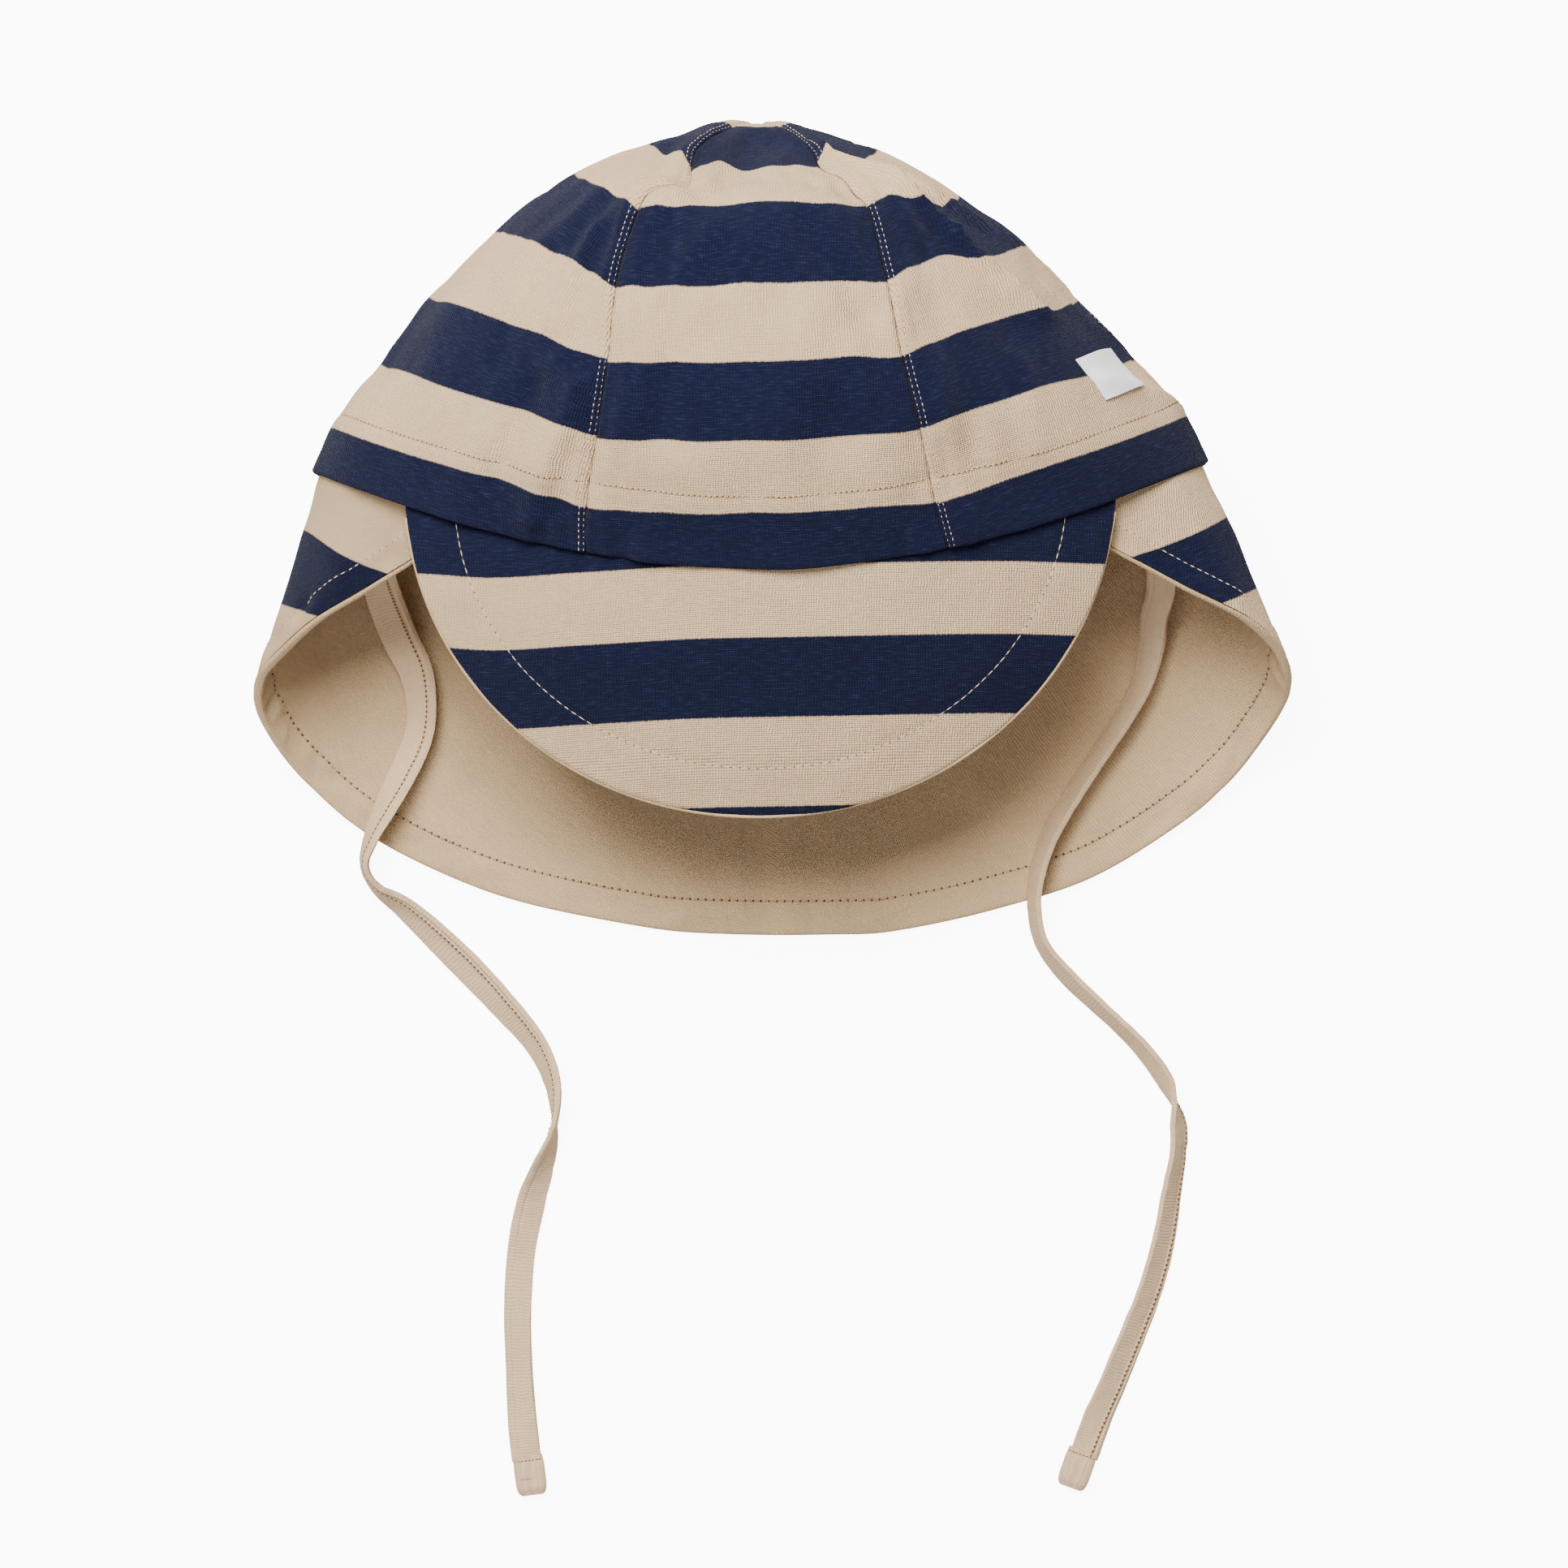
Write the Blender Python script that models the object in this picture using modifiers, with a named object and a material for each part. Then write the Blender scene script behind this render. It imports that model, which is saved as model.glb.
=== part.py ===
"""A child's sun hat with a peak, a lined neck flap and two flat ties, lying on its back.

Every piece is cloth: an open surface shaped from named sizes, then given its thickness.
The crown opens toward -Y, its tip points to +Y, and its back lies on the floor at z = 0.
"""

import bisect
import functools
import math
from collections import namedtuple

import bmesh
import bpy
from mathutils import Vector

# Cloth thicknesses
CROWN_WALL = 0.0012
PEAK_WALL = 0.0024
FLAP_WALL = 0.0010
LINING_WALL = 0.0010
TIE_WALL = 0.0009
TAB_WALL = 0.0007
LABEL_WALL = 0.0006

# Fits between pieces
PIECE_GAP = 0.0003
SEAM_GAP = 0.0006
TUCK_GAP = 0.0006
TUCK_DEPTH = 0.004

# Crown: its sizes as it lies, slightly flattened
HEAD_WIDTH = 0.2208
CROWN_REACH = 0.1175
CROWN_RISE = 0.0895
SIDE_HEIGHT = 0.036
GORE_LENGTH = 0.140
BACK_EDGE_Y = -0.0323
TIP_HOLE_REACH = 0.002
TOP_SQUARENESS = 2.3
BASE_SQUARENESS = 3.2
FLOOR_PRESS = 1.04
EDGE_BOW = 1.9

# Peak
PEAK_REACH = 0.0764
PEAK_CORNER_ANGLE = 49.1
PEAK_CORNER_HEIGHT = 0.0625
PEAK_TIP_HEIGHT = 0.050
PEAK_CROWNING = 0.002
PEAK_END_TURN = 2.0
PEAK_SQUARENESS = 2.05

# Neck flap
FLAP_LENGTH = 0.084
FLAP_END_ANGLE = 41.0
UNDER_PEAK_ANGLE = 54.0
UNDER_PEAK_FADE = 12.0

# Ties and their end tabs
TIE_WIDTH = 0.0080
TAB_LENGTH = 0.0080
TAB_WIDTH = 0.0080
TAB_HEIGHT = 0.0030

# Side label
LABEL_ALONG = (0.185, 0.280)
LABEL_ANGLES = (57.0, 80.0)

# How finely the surfaces are divided
GORE_ROWS = 16
GORE_COLUMNS = 11
SEAM_STRIP = 0.012
ARC_SAMPLES = 400
FLAP_COLUMNS = 42
PEAK_COLUMNS = 26
TIE_ROWS = 54
TAB_SEGMENTS = 14
RIB_SHARES = (1.0, 0.86, 0.72, 0.58, 0.44, 0.3, 0.17, 0.07, 0.0)

# One row per stripe edge of the crown, from the bottom edge to the tip.
# along: share of GORE_LENGTH. half_width, shift: shares of HEAD_WIDTH.
# The y columns: shares of CROWN_REACH from the back edge. top_z, base_z: shares of CROWN_RISE.
# The seam columns: where the two front seams lie, as shares of the half width.
Ring = namedtuple("Ring", "along half_width shift left_y right_y front_y back_y top_z base_z left_seam right_seam")
RINGS = (
    Ring(0.000, 0.500, -0.006, 0.270, 0.292, 0.051, 0.000, 0.843, 0.000, 0.380, 0.409),
    Ring(0.100, 0.473, -0.009, 0.360, 0.382, 0.166, 0.119, 0.900, 0.000, 0.390, 0.405),
    Ring(0.237, 0.419, -0.008, 0.489, 0.504, 0.309, 0.283, 0.978, 0.000, 0.413, 0.415),
    Ring(0.374, 0.361, -0.014, 0.636, 0.629, 0.468, 0.446, 1.000, 0.000, 0.430, 0.440),
    Ring(0.511, 0.294, -0.006, 0.767, 0.745, 0.624, 0.609, 0.989, 0.000, 0.515, 0.463),
    Ring(0.649, 0.213, -0.003, 0.889, 0.852, 0.793, 0.773, 0.916, 0.006, 0.577, 0.511),
    Ring(0.786, 0.125, -0.006, 0.952, 0.944, 0.884, 0.922, 0.726, 0.095, 0.620, 0.580),
    Ring(0.923, 0.049, -0.010, 0.992, 0.995, 0.974, 0.994, 0.525, 0.284, 0.550, 0.540),
    Ring(1.000, 0.000, -0.010, 1.000, 1.000, 1.000, 1.000, 0.402, 0.402, 0.500, 0.500),
)

# Soft folds of the crown, each a ridge from one place to another; a negative height is a dent.
# The along columns are shares of GORE_LENGTH, the angles are degrees round the crown from its top.
Fold = namedtuple("Fold", "along angle end_along end_angle half_width height")
FOLDS = (
    Fold(0.14, -28.0, 0.34, -29.0, 0.006, 0.0012),
    Fold(0.86, 26.0, 0.37, 56.0, 0.007, 0.0014),
    Fold(0.84, -34.0, 0.50, -52.0, 0.007, 0.0010),
    Fold(0.84, -6.0, 0.70, -10.0, 0.007, -0.0010),
)
FOLD_RADIUS = 0.070

# One row per pair of ribs of the neck flap, from its front ends to the middle of the back.
# turn: degrees round the band edge. out and down: how far the hem is from the band edge, sideways
# and toward -Y, as shares of FLAP_LENGTH. height: of the hem, as a share of SIDE_HEIGHT.
Rib = namedtuple("Rib", "turn left_out left_down right_out right_down height")
RIBS = (
    Rib(41.0, -0.010, 0.060, 0.020, 0.075, 1.56),
    Rib(50.0, -0.020, 0.180, 0.025, 0.180, 1.53),
    Rib(60.0, 0.010, 0.310, 0.090, 0.320, 1.44),
    Rib(70.0, 0.060, 0.420, 0.180, 0.440, 1.31),
    Rib(80.0, 0.120, 0.530, 0.230, 0.540, 1.06),
    Rib(90.0, 0.180, 0.610, 0.255, 0.620, 0.81),
    Rib(100.0, 0.205, 0.680, 0.270, 0.680, 0.56),
    Rib(115.0, 0.220, 0.760, 0.270, 0.765, 0.28),
    Rib(130.0, 0.230, 0.830, 0.270, 0.850, 0.10),
    Rib(140.0, 0.195, 0.905, 0.230, 0.920, 0.03),
    Rib(150.0, 0.130, 0.960, 0.135, 1.000, 0.00),
    Rib(160.0, 0.055, 0.995, 0.020, 1.030, 0.00),
    Rib(170.0, -0.100, 1.015, -0.045, 1.030, 0.00),
    Rib(180.0, -0.053, 0.990, 0.053, 0.990, 0.00),
)

# The ties' routes: centre points (x, y) in metres, the height of what the tie lies on there,
# and how far it is turned up on its edge, in degrees.
RoutePoint = namedtuple("RoutePoint", "x y under tilt")
LEFT_ROUTE = (
    RoutePoint(-0.0955, -0.008, 0.0470, 45),
    RoutePoint(-0.0962, -0.018, 0.0380, 30),
    RoutePoint(-0.0959, -0.0287, 0.0250, 10),
    RoutePoint(-0.0926, -0.0403, 0.0120, 0),
    RoutePoint(-0.0885, -0.0535, 0.0072, 15),
    RoutePoint(-0.0873, -0.0596, 0.0062, 30),
    RoutePoint(-0.0901, -0.0698, 0.0056, 30),
    RoutePoint(-0.0942, -0.0797, 0.0050, 30),
    RoutePoint(-0.0985, -0.0930, 0.0035, 40),
    RoutePoint(-0.0973, -0.1018, 0.0018, 40),
    RoutePoint(-0.0924, -0.1099, 0.0004, 30),
    RoutePoint(-0.0768, -0.1234, 0.0002, 30),
    RoutePoint(-0.0673, -0.1325, 0.0002, 35),
    RoutePoint(-0.0587, -0.1407, 0.0002, 45),
    RoutePoint(-0.0544, -0.1496, 0.0002, 60),
    RoutePoint(-0.0532, -0.1576, 0.0002, 75),
    RoutePoint(-0.0536, -0.1654, 0.0002, 95),
    RoutePoint(-0.0564, -0.1736, 0.0002, 130),
    RoutePoint(-0.0593, -0.1835, 0.0002, 160),
    RoutePoint(-0.0616, -0.1958, 0.0002, 175),
    RoutePoint(-0.0626, -0.2108, 0.0002, 195),
    RoutePoint(-0.0622, -0.2235, 0.0002, 210),
    RoutePoint(-0.0614, -0.2363, 0.0002, 210),
    RoutePoint(-0.0601, -0.2466, 0.0002, 190),
)
RIGHT_ROUTE = (
    RoutePoint(0.0940, -0.008, 0.0470, -45),
    RoutePoint(0.0970, -0.018, 0.0380, -30),
    RoutePoint(0.0984, -0.0285, 0.0250, -15),
    RoutePoint(0.0972, -0.0354, 0.0160, -30),
    RoutePoint(0.0965, -0.0433, 0.0090, -50),
    RoutePoint(0.0941, -0.0524, 0.0062, -62),
    RoutePoint(0.0896, -0.0608, 0.0050, -70),
    RoutePoint(0.0831, -0.0706, 0.0040, -66),
    RoutePoint(0.0765, -0.0809, 0.0034, -60),
    RoutePoint(0.0710, -0.0909, 0.0030, -55),
    RoutePoint(0.0680, -0.1006, 0.0026, -60),
    RoutePoint(0.0675, -0.1088, 0.0018, -62),
    RoutePoint(0.0696, -0.1177, 0.0006, -60),
    RoutePoint(0.0763, -0.1263, 0.0002, -52),
    RoutePoint(0.0879, -0.1372, 0.0002, -60),
    RoutePoint(0.0952, -0.1446, 0.0002, -62),
    RoutePoint(0.1010, -0.1530, 0.0002, -66),
    RoutePoint(0.1037, -0.1625, 0.0002, -64),
    RoutePoint(0.1037, -0.1705, 0.0002, -60),
    RoutePoint(0.1022, -0.1794, 0.0002, -50),
    RoutePoint(0.1002, -0.1923, 0.0002, -45),
    RoutePoint(0.0971, -0.2038, 0.0002, -52),
    RoutePoint(0.0928, -0.2151, 0.0002, -52),
    RoutePoint(0.0874, -0.2281, 0.0002, -42),
    RoutePoint(0.0833, -0.2373, 0.0002, -30),
    RoutePoint(0.0802, -0.2459, 0.0002, -10),
)

# Colours (linear) and roughness of the cloths
Cloth = namedtuple("Cloth", "name colour roughness")
STRIPED_JERSEY = Cloth("striped_jersey", (0.30, 0.26, 0.24, 1.0), 0.95)
PLAIN_LINING = Cloth("plain_lining", (0.52, 0.40, 0.28, 1.0), 0.95)
TIE_JERSEY = Cloth("tie_jersey", (0.55, 0.45, 0.34, 1.0), 0.95)
LABEL_TAPE = Cloth("label_tape", (0.72, 0.72, 0.74, 1.0), 0.80)


def clear_scene():
    """Removes every object, so that the scene holds only the hat."""
    for old in list(bpy.data.objects):
        bpy.data.objects.remove(old, do_unlink=True)


def mix(start, end, share):
    """The value a share of the way from start to end."""
    return start + (end - start) * share


def clamp(value, low, high):
    """The value, kept between two limits."""
    return min(max(value, low), high)


def cubic(before, start, end, after, share):
    """A cubic from start to end whose end slopes come from the values on either side."""
    leave = (end - before) / 2
    arrive = (after - start) / 2
    bend = 3 * (end - start) - 2 * leave - arrive
    settle = 2 * (start - end) + leave + arrive
    return start + share * (leave + share * (bend + share * settle))


def table_row(rows, position):
    """Reads a table smoothly between its rows; the first column says where each row stands."""
    last = len(rows) - 1
    index = sum(row[0] <= position for row in rows) - 1
    index = clamp(index, 0, last - 1)
    start = rows[index]
    end = rows[index + 1]
    before = rows[max(index - 1, 0)]
    after = rows[min(index + 2, last)]
    share = (position - start[0]) / (end[0] - start[0])
    return type(start)(*(cubic(*values, share) for values in zip(before, start, end, after)))


# The crown


def section_share(angle):
    """How far across (-1 to 1) and how far up or down (0 to 1) an angle lies on the crown's section."""
    turned = (angle + 180) % 360 - 180
    is_top = abs(turned) <= 90
    lean = math.radians(abs(turned) if is_top else 180 - abs(turned))
    power = 2 / (TOP_SQUARENESS if is_top else BASE_SQUARENESS)
    across = math.copysign(math.sin(lean) ** power, turned)
    return across, max(math.cos(lean), 0.0) ** power, is_top


def crown_form(along, angle):
    """The crown's outer skin without its folds, at a share of the gore length and an angle from the top."""
    ring = table_row(RINGS, along)
    across, rise, is_top = section_share(angle)
    middle_y = ring.front_y if is_top else ring.back_y
    side_y = ring.left_y if across < 0 else ring.right_y
    y = mix(middle_y, side_y, abs(across) ** EDGE_BOW)
    if is_top:
        z = mix(SIDE_HEIGHT, ring.top_z * CROWN_RISE, rise)
    else:
        base = ring.base_z * CROWN_RISE
        z = max(mix(SIDE_HEIGHT, base, FLOOR_PRESS * rise), base, 0.0)
    x = (ring.shift + across * ring.half_width) * HEAD_WIDTH
    return Vector((x, BACK_EDGE_Y + y * CROWN_REACH, z))


def outward(form, first, second, first_step, second_step):
    """The unit normal of a surface, from small steps along its two directions."""
    along_first = form(first + first_step, second) - form(first - first_step, second)
    along_second = form(first, second + second_step) - form(first, second - second_step)
    return along_first.cross(along_second).normalized()


def crown_outward(along, angle):
    """The outward unit normal of the crown's skin."""
    inside_table = clamp(along, 0.002, 0.998)
    return -outward(crown_form, inside_table, angle, 0.002, 0.5)


def fold_height(along, angle):
    """How far the soft folds lift the skin here."""
    turned = (angle + 180) % 360 - 180
    here = Vector((along * GORE_LENGTH, math.radians(turned) * FOLD_RADIUS))
    height = 0.0
    for fold in FOLDS:
        start = Vector((fold.along * GORE_LENGTH, math.radians(fold.angle) * FOLD_RADIUS))
        end = Vector((fold.end_along * GORE_LENGTH, math.radians(fold.end_angle) * FOLD_RADIUS))
        line = end - start
        share = clamp((here - start).dot(line) / line.length_squared, 0.0, 1.0)
        away = (here - start - line * share).length / fold.half_width
        height += fold.height * math.exp(-away * away)
    return height


def crown_skin(along, angle):
    """The crown's outer skin with its folds."""
    return crown_form(along, angle) + crown_outward(along, angle) * fold_height(along, angle)


def seam_angles(along):
    """The angles of the six seams at this height, from the front left one round to the same one again."""
    ring = table_row(RINGS, along)
    top_left = math.degrees(math.asin(ring.left_seam ** (TOP_SQUARENESS / 2)))
    top_right = math.degrees(math.asin(ring.right_seam ** (TOP_SQUARENESS / 2)))
    base_left = math.degrees(math.asin(ring.left_seam ** (BASE_SQUARENESS / 2)))
    base_right = math.degrees(math.asin(ring.right_seam ** (BASE_SQUARENESS / 2)))
    return (-top_left, top_right, 90.0, 180 - base_right, 180 + base_left, 270.0, 360 - top_left)


@functools.lru_cache(maxsize=None)
def arc_table(along, start, end):
    """Angles from start to end, and how far over the cloth each one is from the start."""
    shares = [(1 - math.cos(math.pi * step / ARC_SAMPLES)) / 2 for step in range(ARC_SAMPLES + 1)]
    angles = [mix(start, end, share) for share in shares]
    points = [crown_form(along, angle) for angle in angles]
    travelled = [0.0]
    for here, there in zip(points, points[1:]):
        travelled.append(travelled[-1] + (there - here).length)
    return angles, travelled


def angle_after(along, start, end, distance):
    """The angle that lies a distance over the cloth from the start."""
    angles, travelled = arc_table(along, start, end)
    after = clamp(bisect.bisect_right(travelled, distance), 1, ARC_SAMPLES)
    share = (distance - travelled[after - 1]) / (travelled[after] - travelled[after - 1])
    return mix(angles[after - 1], angles[after], share)


def across_gore(column):
    """Where a gore's column stands between its two edges, with a narrow strip along each edge."""
    if column in (0, GORE_COLUMNS):
        return column / GORE_COLUMNS
    return mix(SEAM_STRIP, 1 - SEAM_STRIP, (column - 1) / (GORE_COLUMNS - 2))


def gore_surface(index):
    """The surface of one gore, which stops half a seam gap short of each of its seams."""

    def place(across, up):
        along = up * (1 - TIP_HOLE_REACH / GORE_LENGTH)
        start, end = seam_angles(along)[index : index + 2]
        width = arc_table(along, start, end)[1][-1]
        distance = mix(SEAM_GAP / 2, width - SEAM_GAP / 2, across_gore(round(across * GORE_COLUMNS)))
        return crown_skin(along, angle_after(along, start, end, distance))

    return place


# The peak and the neck flap


def sewn_rib(share_index, tucked, foot, tip):
    """A point on a rib that runs from its tip to the band edge and ends tucked inside the crown."""
    if share_index == len(RIB_SHARES):
        return tucked
    return mix(foot, tip, RIB_SHARES[share_index])


def band_points(turn, inset):
    """The points inside the crown at the band edge and above it, an inset below the outer skin."""
    tuck = TUCK_DEPTH / GORE_LENGTH
    foot = crown_form(0, turn) - crown_outward(0, turn) * inset
    tucked = crown_form(tuck, turn) - crown_outward(tuck, turn) * inset
    return foot, tucked


def peak_surface(across, up):
    """The upper skin of the peak, from its outline to the strip tucked inside the band."""
    inset = CROWN_WALL + TUCK_GAP
    left, _ = band_points(-PEAK_CORNER_ANGLE, inset)
    right, _ = band_points(PEAK_CORNER_ANGLE, inset)
    around = math.radians(mix(PEAK_END_TURN, 180 - PEAK_END_TURN, across))
    power = 2 / PEAK_SQUARENESS
    sideways = -math.copysign(abs(math.cos(around)) ** power, math.cos(around))
    corner = mix(left, right, across)
    tip = Vector((
        mix(left.x, right.x, (1 + sideways) / 2),
        corner.y - PEAK_REACH * math.sin(around) ** power,
        mix(PEAK_CORNER_HEIGHT, PEAK_TIP_HEIGHT, math.sin(around)),
    ))
    foot, tucked = band_points(mix(-PEAK_CORNER_ANGLE, PEAK_CORNER_ANGLE, across), inset)
    row = round(up * len(RIB_SHARES))
    place = sewn_rib(row, tucked, foot, tip)
    if row < len(RIB_SHARES):
        share = RIB_SHARES[row]
        place.z += PEAK_CROWNING * 4 * share * (1 - share) * math.sin(around)
    return place


def flap_inset(turn):
    """How deep inside the crown's skin the flap is sewn: deeper where the peak lies over it."""
    from_front = min(turn, 360 - turn)
    under_peak = clamp(1 + (UNDER_PEAK_ANGLE - from_front) / UNDER_PEAK_FADE, 0.0, 1.0)
    return CROWN_WALL + TUCK_GAP + (PEAK_WALL + TUCK_GAP) * under_peak


def flap_skin(across, up):
    """The outer skin of the neck flap, from its hem to the strip tucked inside the band."""
    ends = (FLAP_END_ANGLE, 360 - FLAP_END_ANGLE)
    turn = angle_after(0.0, *ends, across * arc_table(0.0, *ends)[1][-1])
    rib = table_row(RIBS, min(turn, 360 - turn))
    is_left = turn > 180
    out = -rib.left_out if is_left else rib.right_out
    down = rib.left_down if is_left else rib.right_down
    edge = crown_form(0, turn)
    tip = Vector((
        edge.x + out * FLAP_LENGTH,
        edge.y - down * FLAP_LENGTH,
        max(rib.height, 0.0) * SIDE_HEIGHT,
    ))
    foot, tucked = band_points(turn, flap_inset(turn))
    return sewn_rib(round(up * len(RIB_SHARES)), tucked, foot, tip)


def lining_surface(across, up):
    """The outer skin of the lining, which lies inside the flap all over."""
    step = 1 / FLAP_COLUMNS
    rise = 1 / len(RIB_SHARES)
    sideways = flap_skin(min(across + step, 1), up) - flap_skin(max(across - step, 0), up)
    upward = flap_skin(across, min(up + rise, 1)) - flap_skin(across, max(up - rise, 0))
    normal = sideways.cross(upward).normalized()
    return flap_skin(across, up) - normal * (FLAP_WALL + PIECE_GAP)


# The ties, their tabs and the label


def route_point(route, share):
    """The tie's centre and tilt at a share of its route."""
    position = share * (len(route) - 1)
    index = clamp(int(position), 0, len(route) - 2)
    before = route[max(index - 1, 0)]
    after = route[min(index + 2, len(route) - 1)]
    rows = zip(before, route[index], route[index + 1], after)
    spot = RoutePoint(*(cubic(*values, position - index) for values in rows))
    tilt = math.radians(spot.tilt)
    lift = abs(math.sin(tilt)) * TIE_WIDTH / 2 + TIE_WALL / 2
    return Vector((spot.x, spot.y, spot.under + lift)), tilt


def tie_surface(route):
    """The middle surface of a flat tie, tilted as its route says."""

    def place(across, up):
        centre, tilt = route_point(route, up)
        ahead = route_point(route, min(up + 0.01, 1))[0] - route_point(route, max(up - 0.01, 0))[0]
        level = Vector((-ahead.y, ahead.x, 0)).normalized()
        edge = level * math.cos(tilt) + ahead.normalized().cross(level) * math.sin(tilt)
        return centre + edge * (0.5 - across) * TIE_WIDTH

    return place


def label_surface(across, up):
    """The label's face, just outside the crown's skin beside the right side seam."""
    along = mix(*LABEL_ALONG, up)
    angle = mix(*LABEL_ANGLES, across)
    return crown_skin(along, angle) + crown_outward(along, angle) * (PIECE_GAP + LABEL_WALL)


# Building


def cloth_material(cloth):
    """The material of one kind of cloth, made once."""
    found = bpy.data.materials.get(cloth.name)
    if found:
        return found
    material = bpy.data.materials.new(cloth.name)
    material.use_nodes = True
    shader = material.node_tree.nodes["Principled BSDF"]
    shader.inputs["Base Color"].default_value = cloth.colour
    shader.inputs["Roughness"].default_value = cloth.roughness
    shader.inputs["Metallic"].default_value = 0.0
    material.diffuse_color = cloth.colour
    return material


def add_piece(name, mesh, cloth, collection):
    """Links a mesh to the collection as a smooth named piece."""
    piece = bpy.data.objects.new(name, mesh)
    collection.objects.link(piece)
    mesh.materials.append(cloth_material(cloth))
    mesh.shade_smooth()
    return piece


def thicken(piece, wall, side):
    """Gives a piece its thickness: side -1 grows inward, 1 outward and 0 both ways."""
    solidify = piece.modifiers.new("cloth thickness", "SOLIDIFY")
    solidify.thickness = wall
    solidify.offset = side
    solidify.use_rim = True


def cloth_piece(name, surface, columns, rows, wall, side, cloth, collection):
    """A grid laid over a surface and thickened."""
    shape = bmesh.new()
    bmesh.ops.create_grid(shape, x_segments=columns, y_segments=rows, size=0.5)
    for corner in shape.verts:
        corner.co = surface(corner.co.x + 0.5, corner.co.y + 0.5)
    mesh = bpy.data.meshes.new(name)
    shape.to_mesh(mesh)
    shape.free()
    thicken(add_piece(name, mesh, cloth, collection), wall, side)


def end_tab(name, route, collection):
    """The tie's end folded back on itself and stitched: a flattened loop, open at both sides."""
    end, _ = route_point(route, 1)
    before, _ = route_point(route, 0.99)
    ahead = Vector((end.x - before.x, end.y - before.y, 0)).normalized()
    sideways = Vector((ahead.y, -ahead.x, 0))
    centre = Vector((end.x, end.y, 0)) + ahead * (PIECE_GAP + TAB_LENGTH / 2)
    shape = bmesh.new()
    bmesh.ops.create_cone(
        shape, cap_ends=False, segments=TAB_SEGMENTS, radius1=0.5, radius2=0.5, depth=1.0
    )
    for corner in shape.verts:
        along, up, across = corner.co
        corner.co = centre + ahead * along * TAB_LENGTH + sideways * across * TAB_WIDTH
        corner.co.z = PIECE_GAP + (up + 0.5) * TAB_HEIGHT
    mesh = bpy.data.meshes.new(name)
    shape.to_mesh(mesh)
    shape.free()
    thicken(add_piece(name, mesh, TIE_JERSEY, collection), TAB_WALL, -1)


def build_crown(collection):
    """The six gores."""
    names = (
        "crown_panel_front",
        "crown_panel_front_right",
        "crown_panel_back_right",
        "crown_panel_back",
        "crown_panel_back_left",
        "crown_panel_front_left",
    )
    for index, name in enumerate(names):
        surface = gore_surface(index)
        cloth_piece(name, surface, GORE_COLUMNS, GORE_ROWS, CROWN_WALL, -1, STRIPED_JERSEY, collection)


def build_peak_and_flap(collection):
    """The peak, the neck flap and the flap's lining."""
    rows = len(RIB_SHARES)
    cloth_piece("peak", peak_surface, PEAK_COLUMNS, rows, PEAK_WALL, -1, STRIPED_JERSEY, collection)
    cloth_piece("neck_flap", flap_skin, FLAP_COLUMNS, rows, FLAP_WALL, -1, STRIPED_JERSEY, collection)
    cloth_piece("flap_lining", lining_surface, FLAP_COLUMNS, rows, LINING_WALL, -1, PLAIN_LINING, collection)


def build_trim(collection):
    """The two ties, their end tabs and the side label."""
    for name, route in (("tie_left", LEFT_ROUTE), ("tie_right", RIGHT_ROUTE)):
        cloth_piece(name, tie_surface(route), 2, TIE_ROWS, TIE_WALL, 0, TIE_JERSEY, collection)
        end_tab(name + "_end", route, collection)
    cloth_piece("side_label", label_surface, 3, 4, LABEL_WALL, -1, LABEL_TAPE, collection)


def main():
    """Builds the hat in a collection of its own."""
    clear_scene()
    collection = bpy.data.collections.new("sun_hat")
    bpy.context.scene.collection.children.link(collection)
    build_crown(collection)
    build_peak_and_flap(collection)
    build_trim(collection)


main()
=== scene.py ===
"""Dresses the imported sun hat: crown, peak, lined neck flap, soft ties, stitching, and a plain stage."""

import bisect
import math
from collections import namedtuple

import bmesh
import bpy
from mathutils import Matrix, Vector, noise


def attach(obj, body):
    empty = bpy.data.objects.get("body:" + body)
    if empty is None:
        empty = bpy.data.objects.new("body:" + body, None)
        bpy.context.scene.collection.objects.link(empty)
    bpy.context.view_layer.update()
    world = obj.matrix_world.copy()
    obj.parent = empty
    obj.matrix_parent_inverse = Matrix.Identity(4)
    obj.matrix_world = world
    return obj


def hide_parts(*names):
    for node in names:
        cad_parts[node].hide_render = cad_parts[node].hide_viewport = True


bl_info = {
    "name": "Sun Hat",
    "version": (1, 0, 0),
    "blender": (4, 5, 0),
    "location": "View3D > Sidebar > Sun Hat",
    "description": "Makes a child's striped sun hat with a peak, a neck flap and ties",
    "category": "Add Mesh",
}

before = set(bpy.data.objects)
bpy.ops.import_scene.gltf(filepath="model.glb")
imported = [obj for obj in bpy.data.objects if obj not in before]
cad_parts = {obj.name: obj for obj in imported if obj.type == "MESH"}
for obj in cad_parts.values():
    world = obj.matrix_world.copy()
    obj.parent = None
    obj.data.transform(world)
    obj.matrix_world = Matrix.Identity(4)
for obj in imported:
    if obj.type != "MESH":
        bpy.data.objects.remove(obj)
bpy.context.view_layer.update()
MM = 0.001

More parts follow.
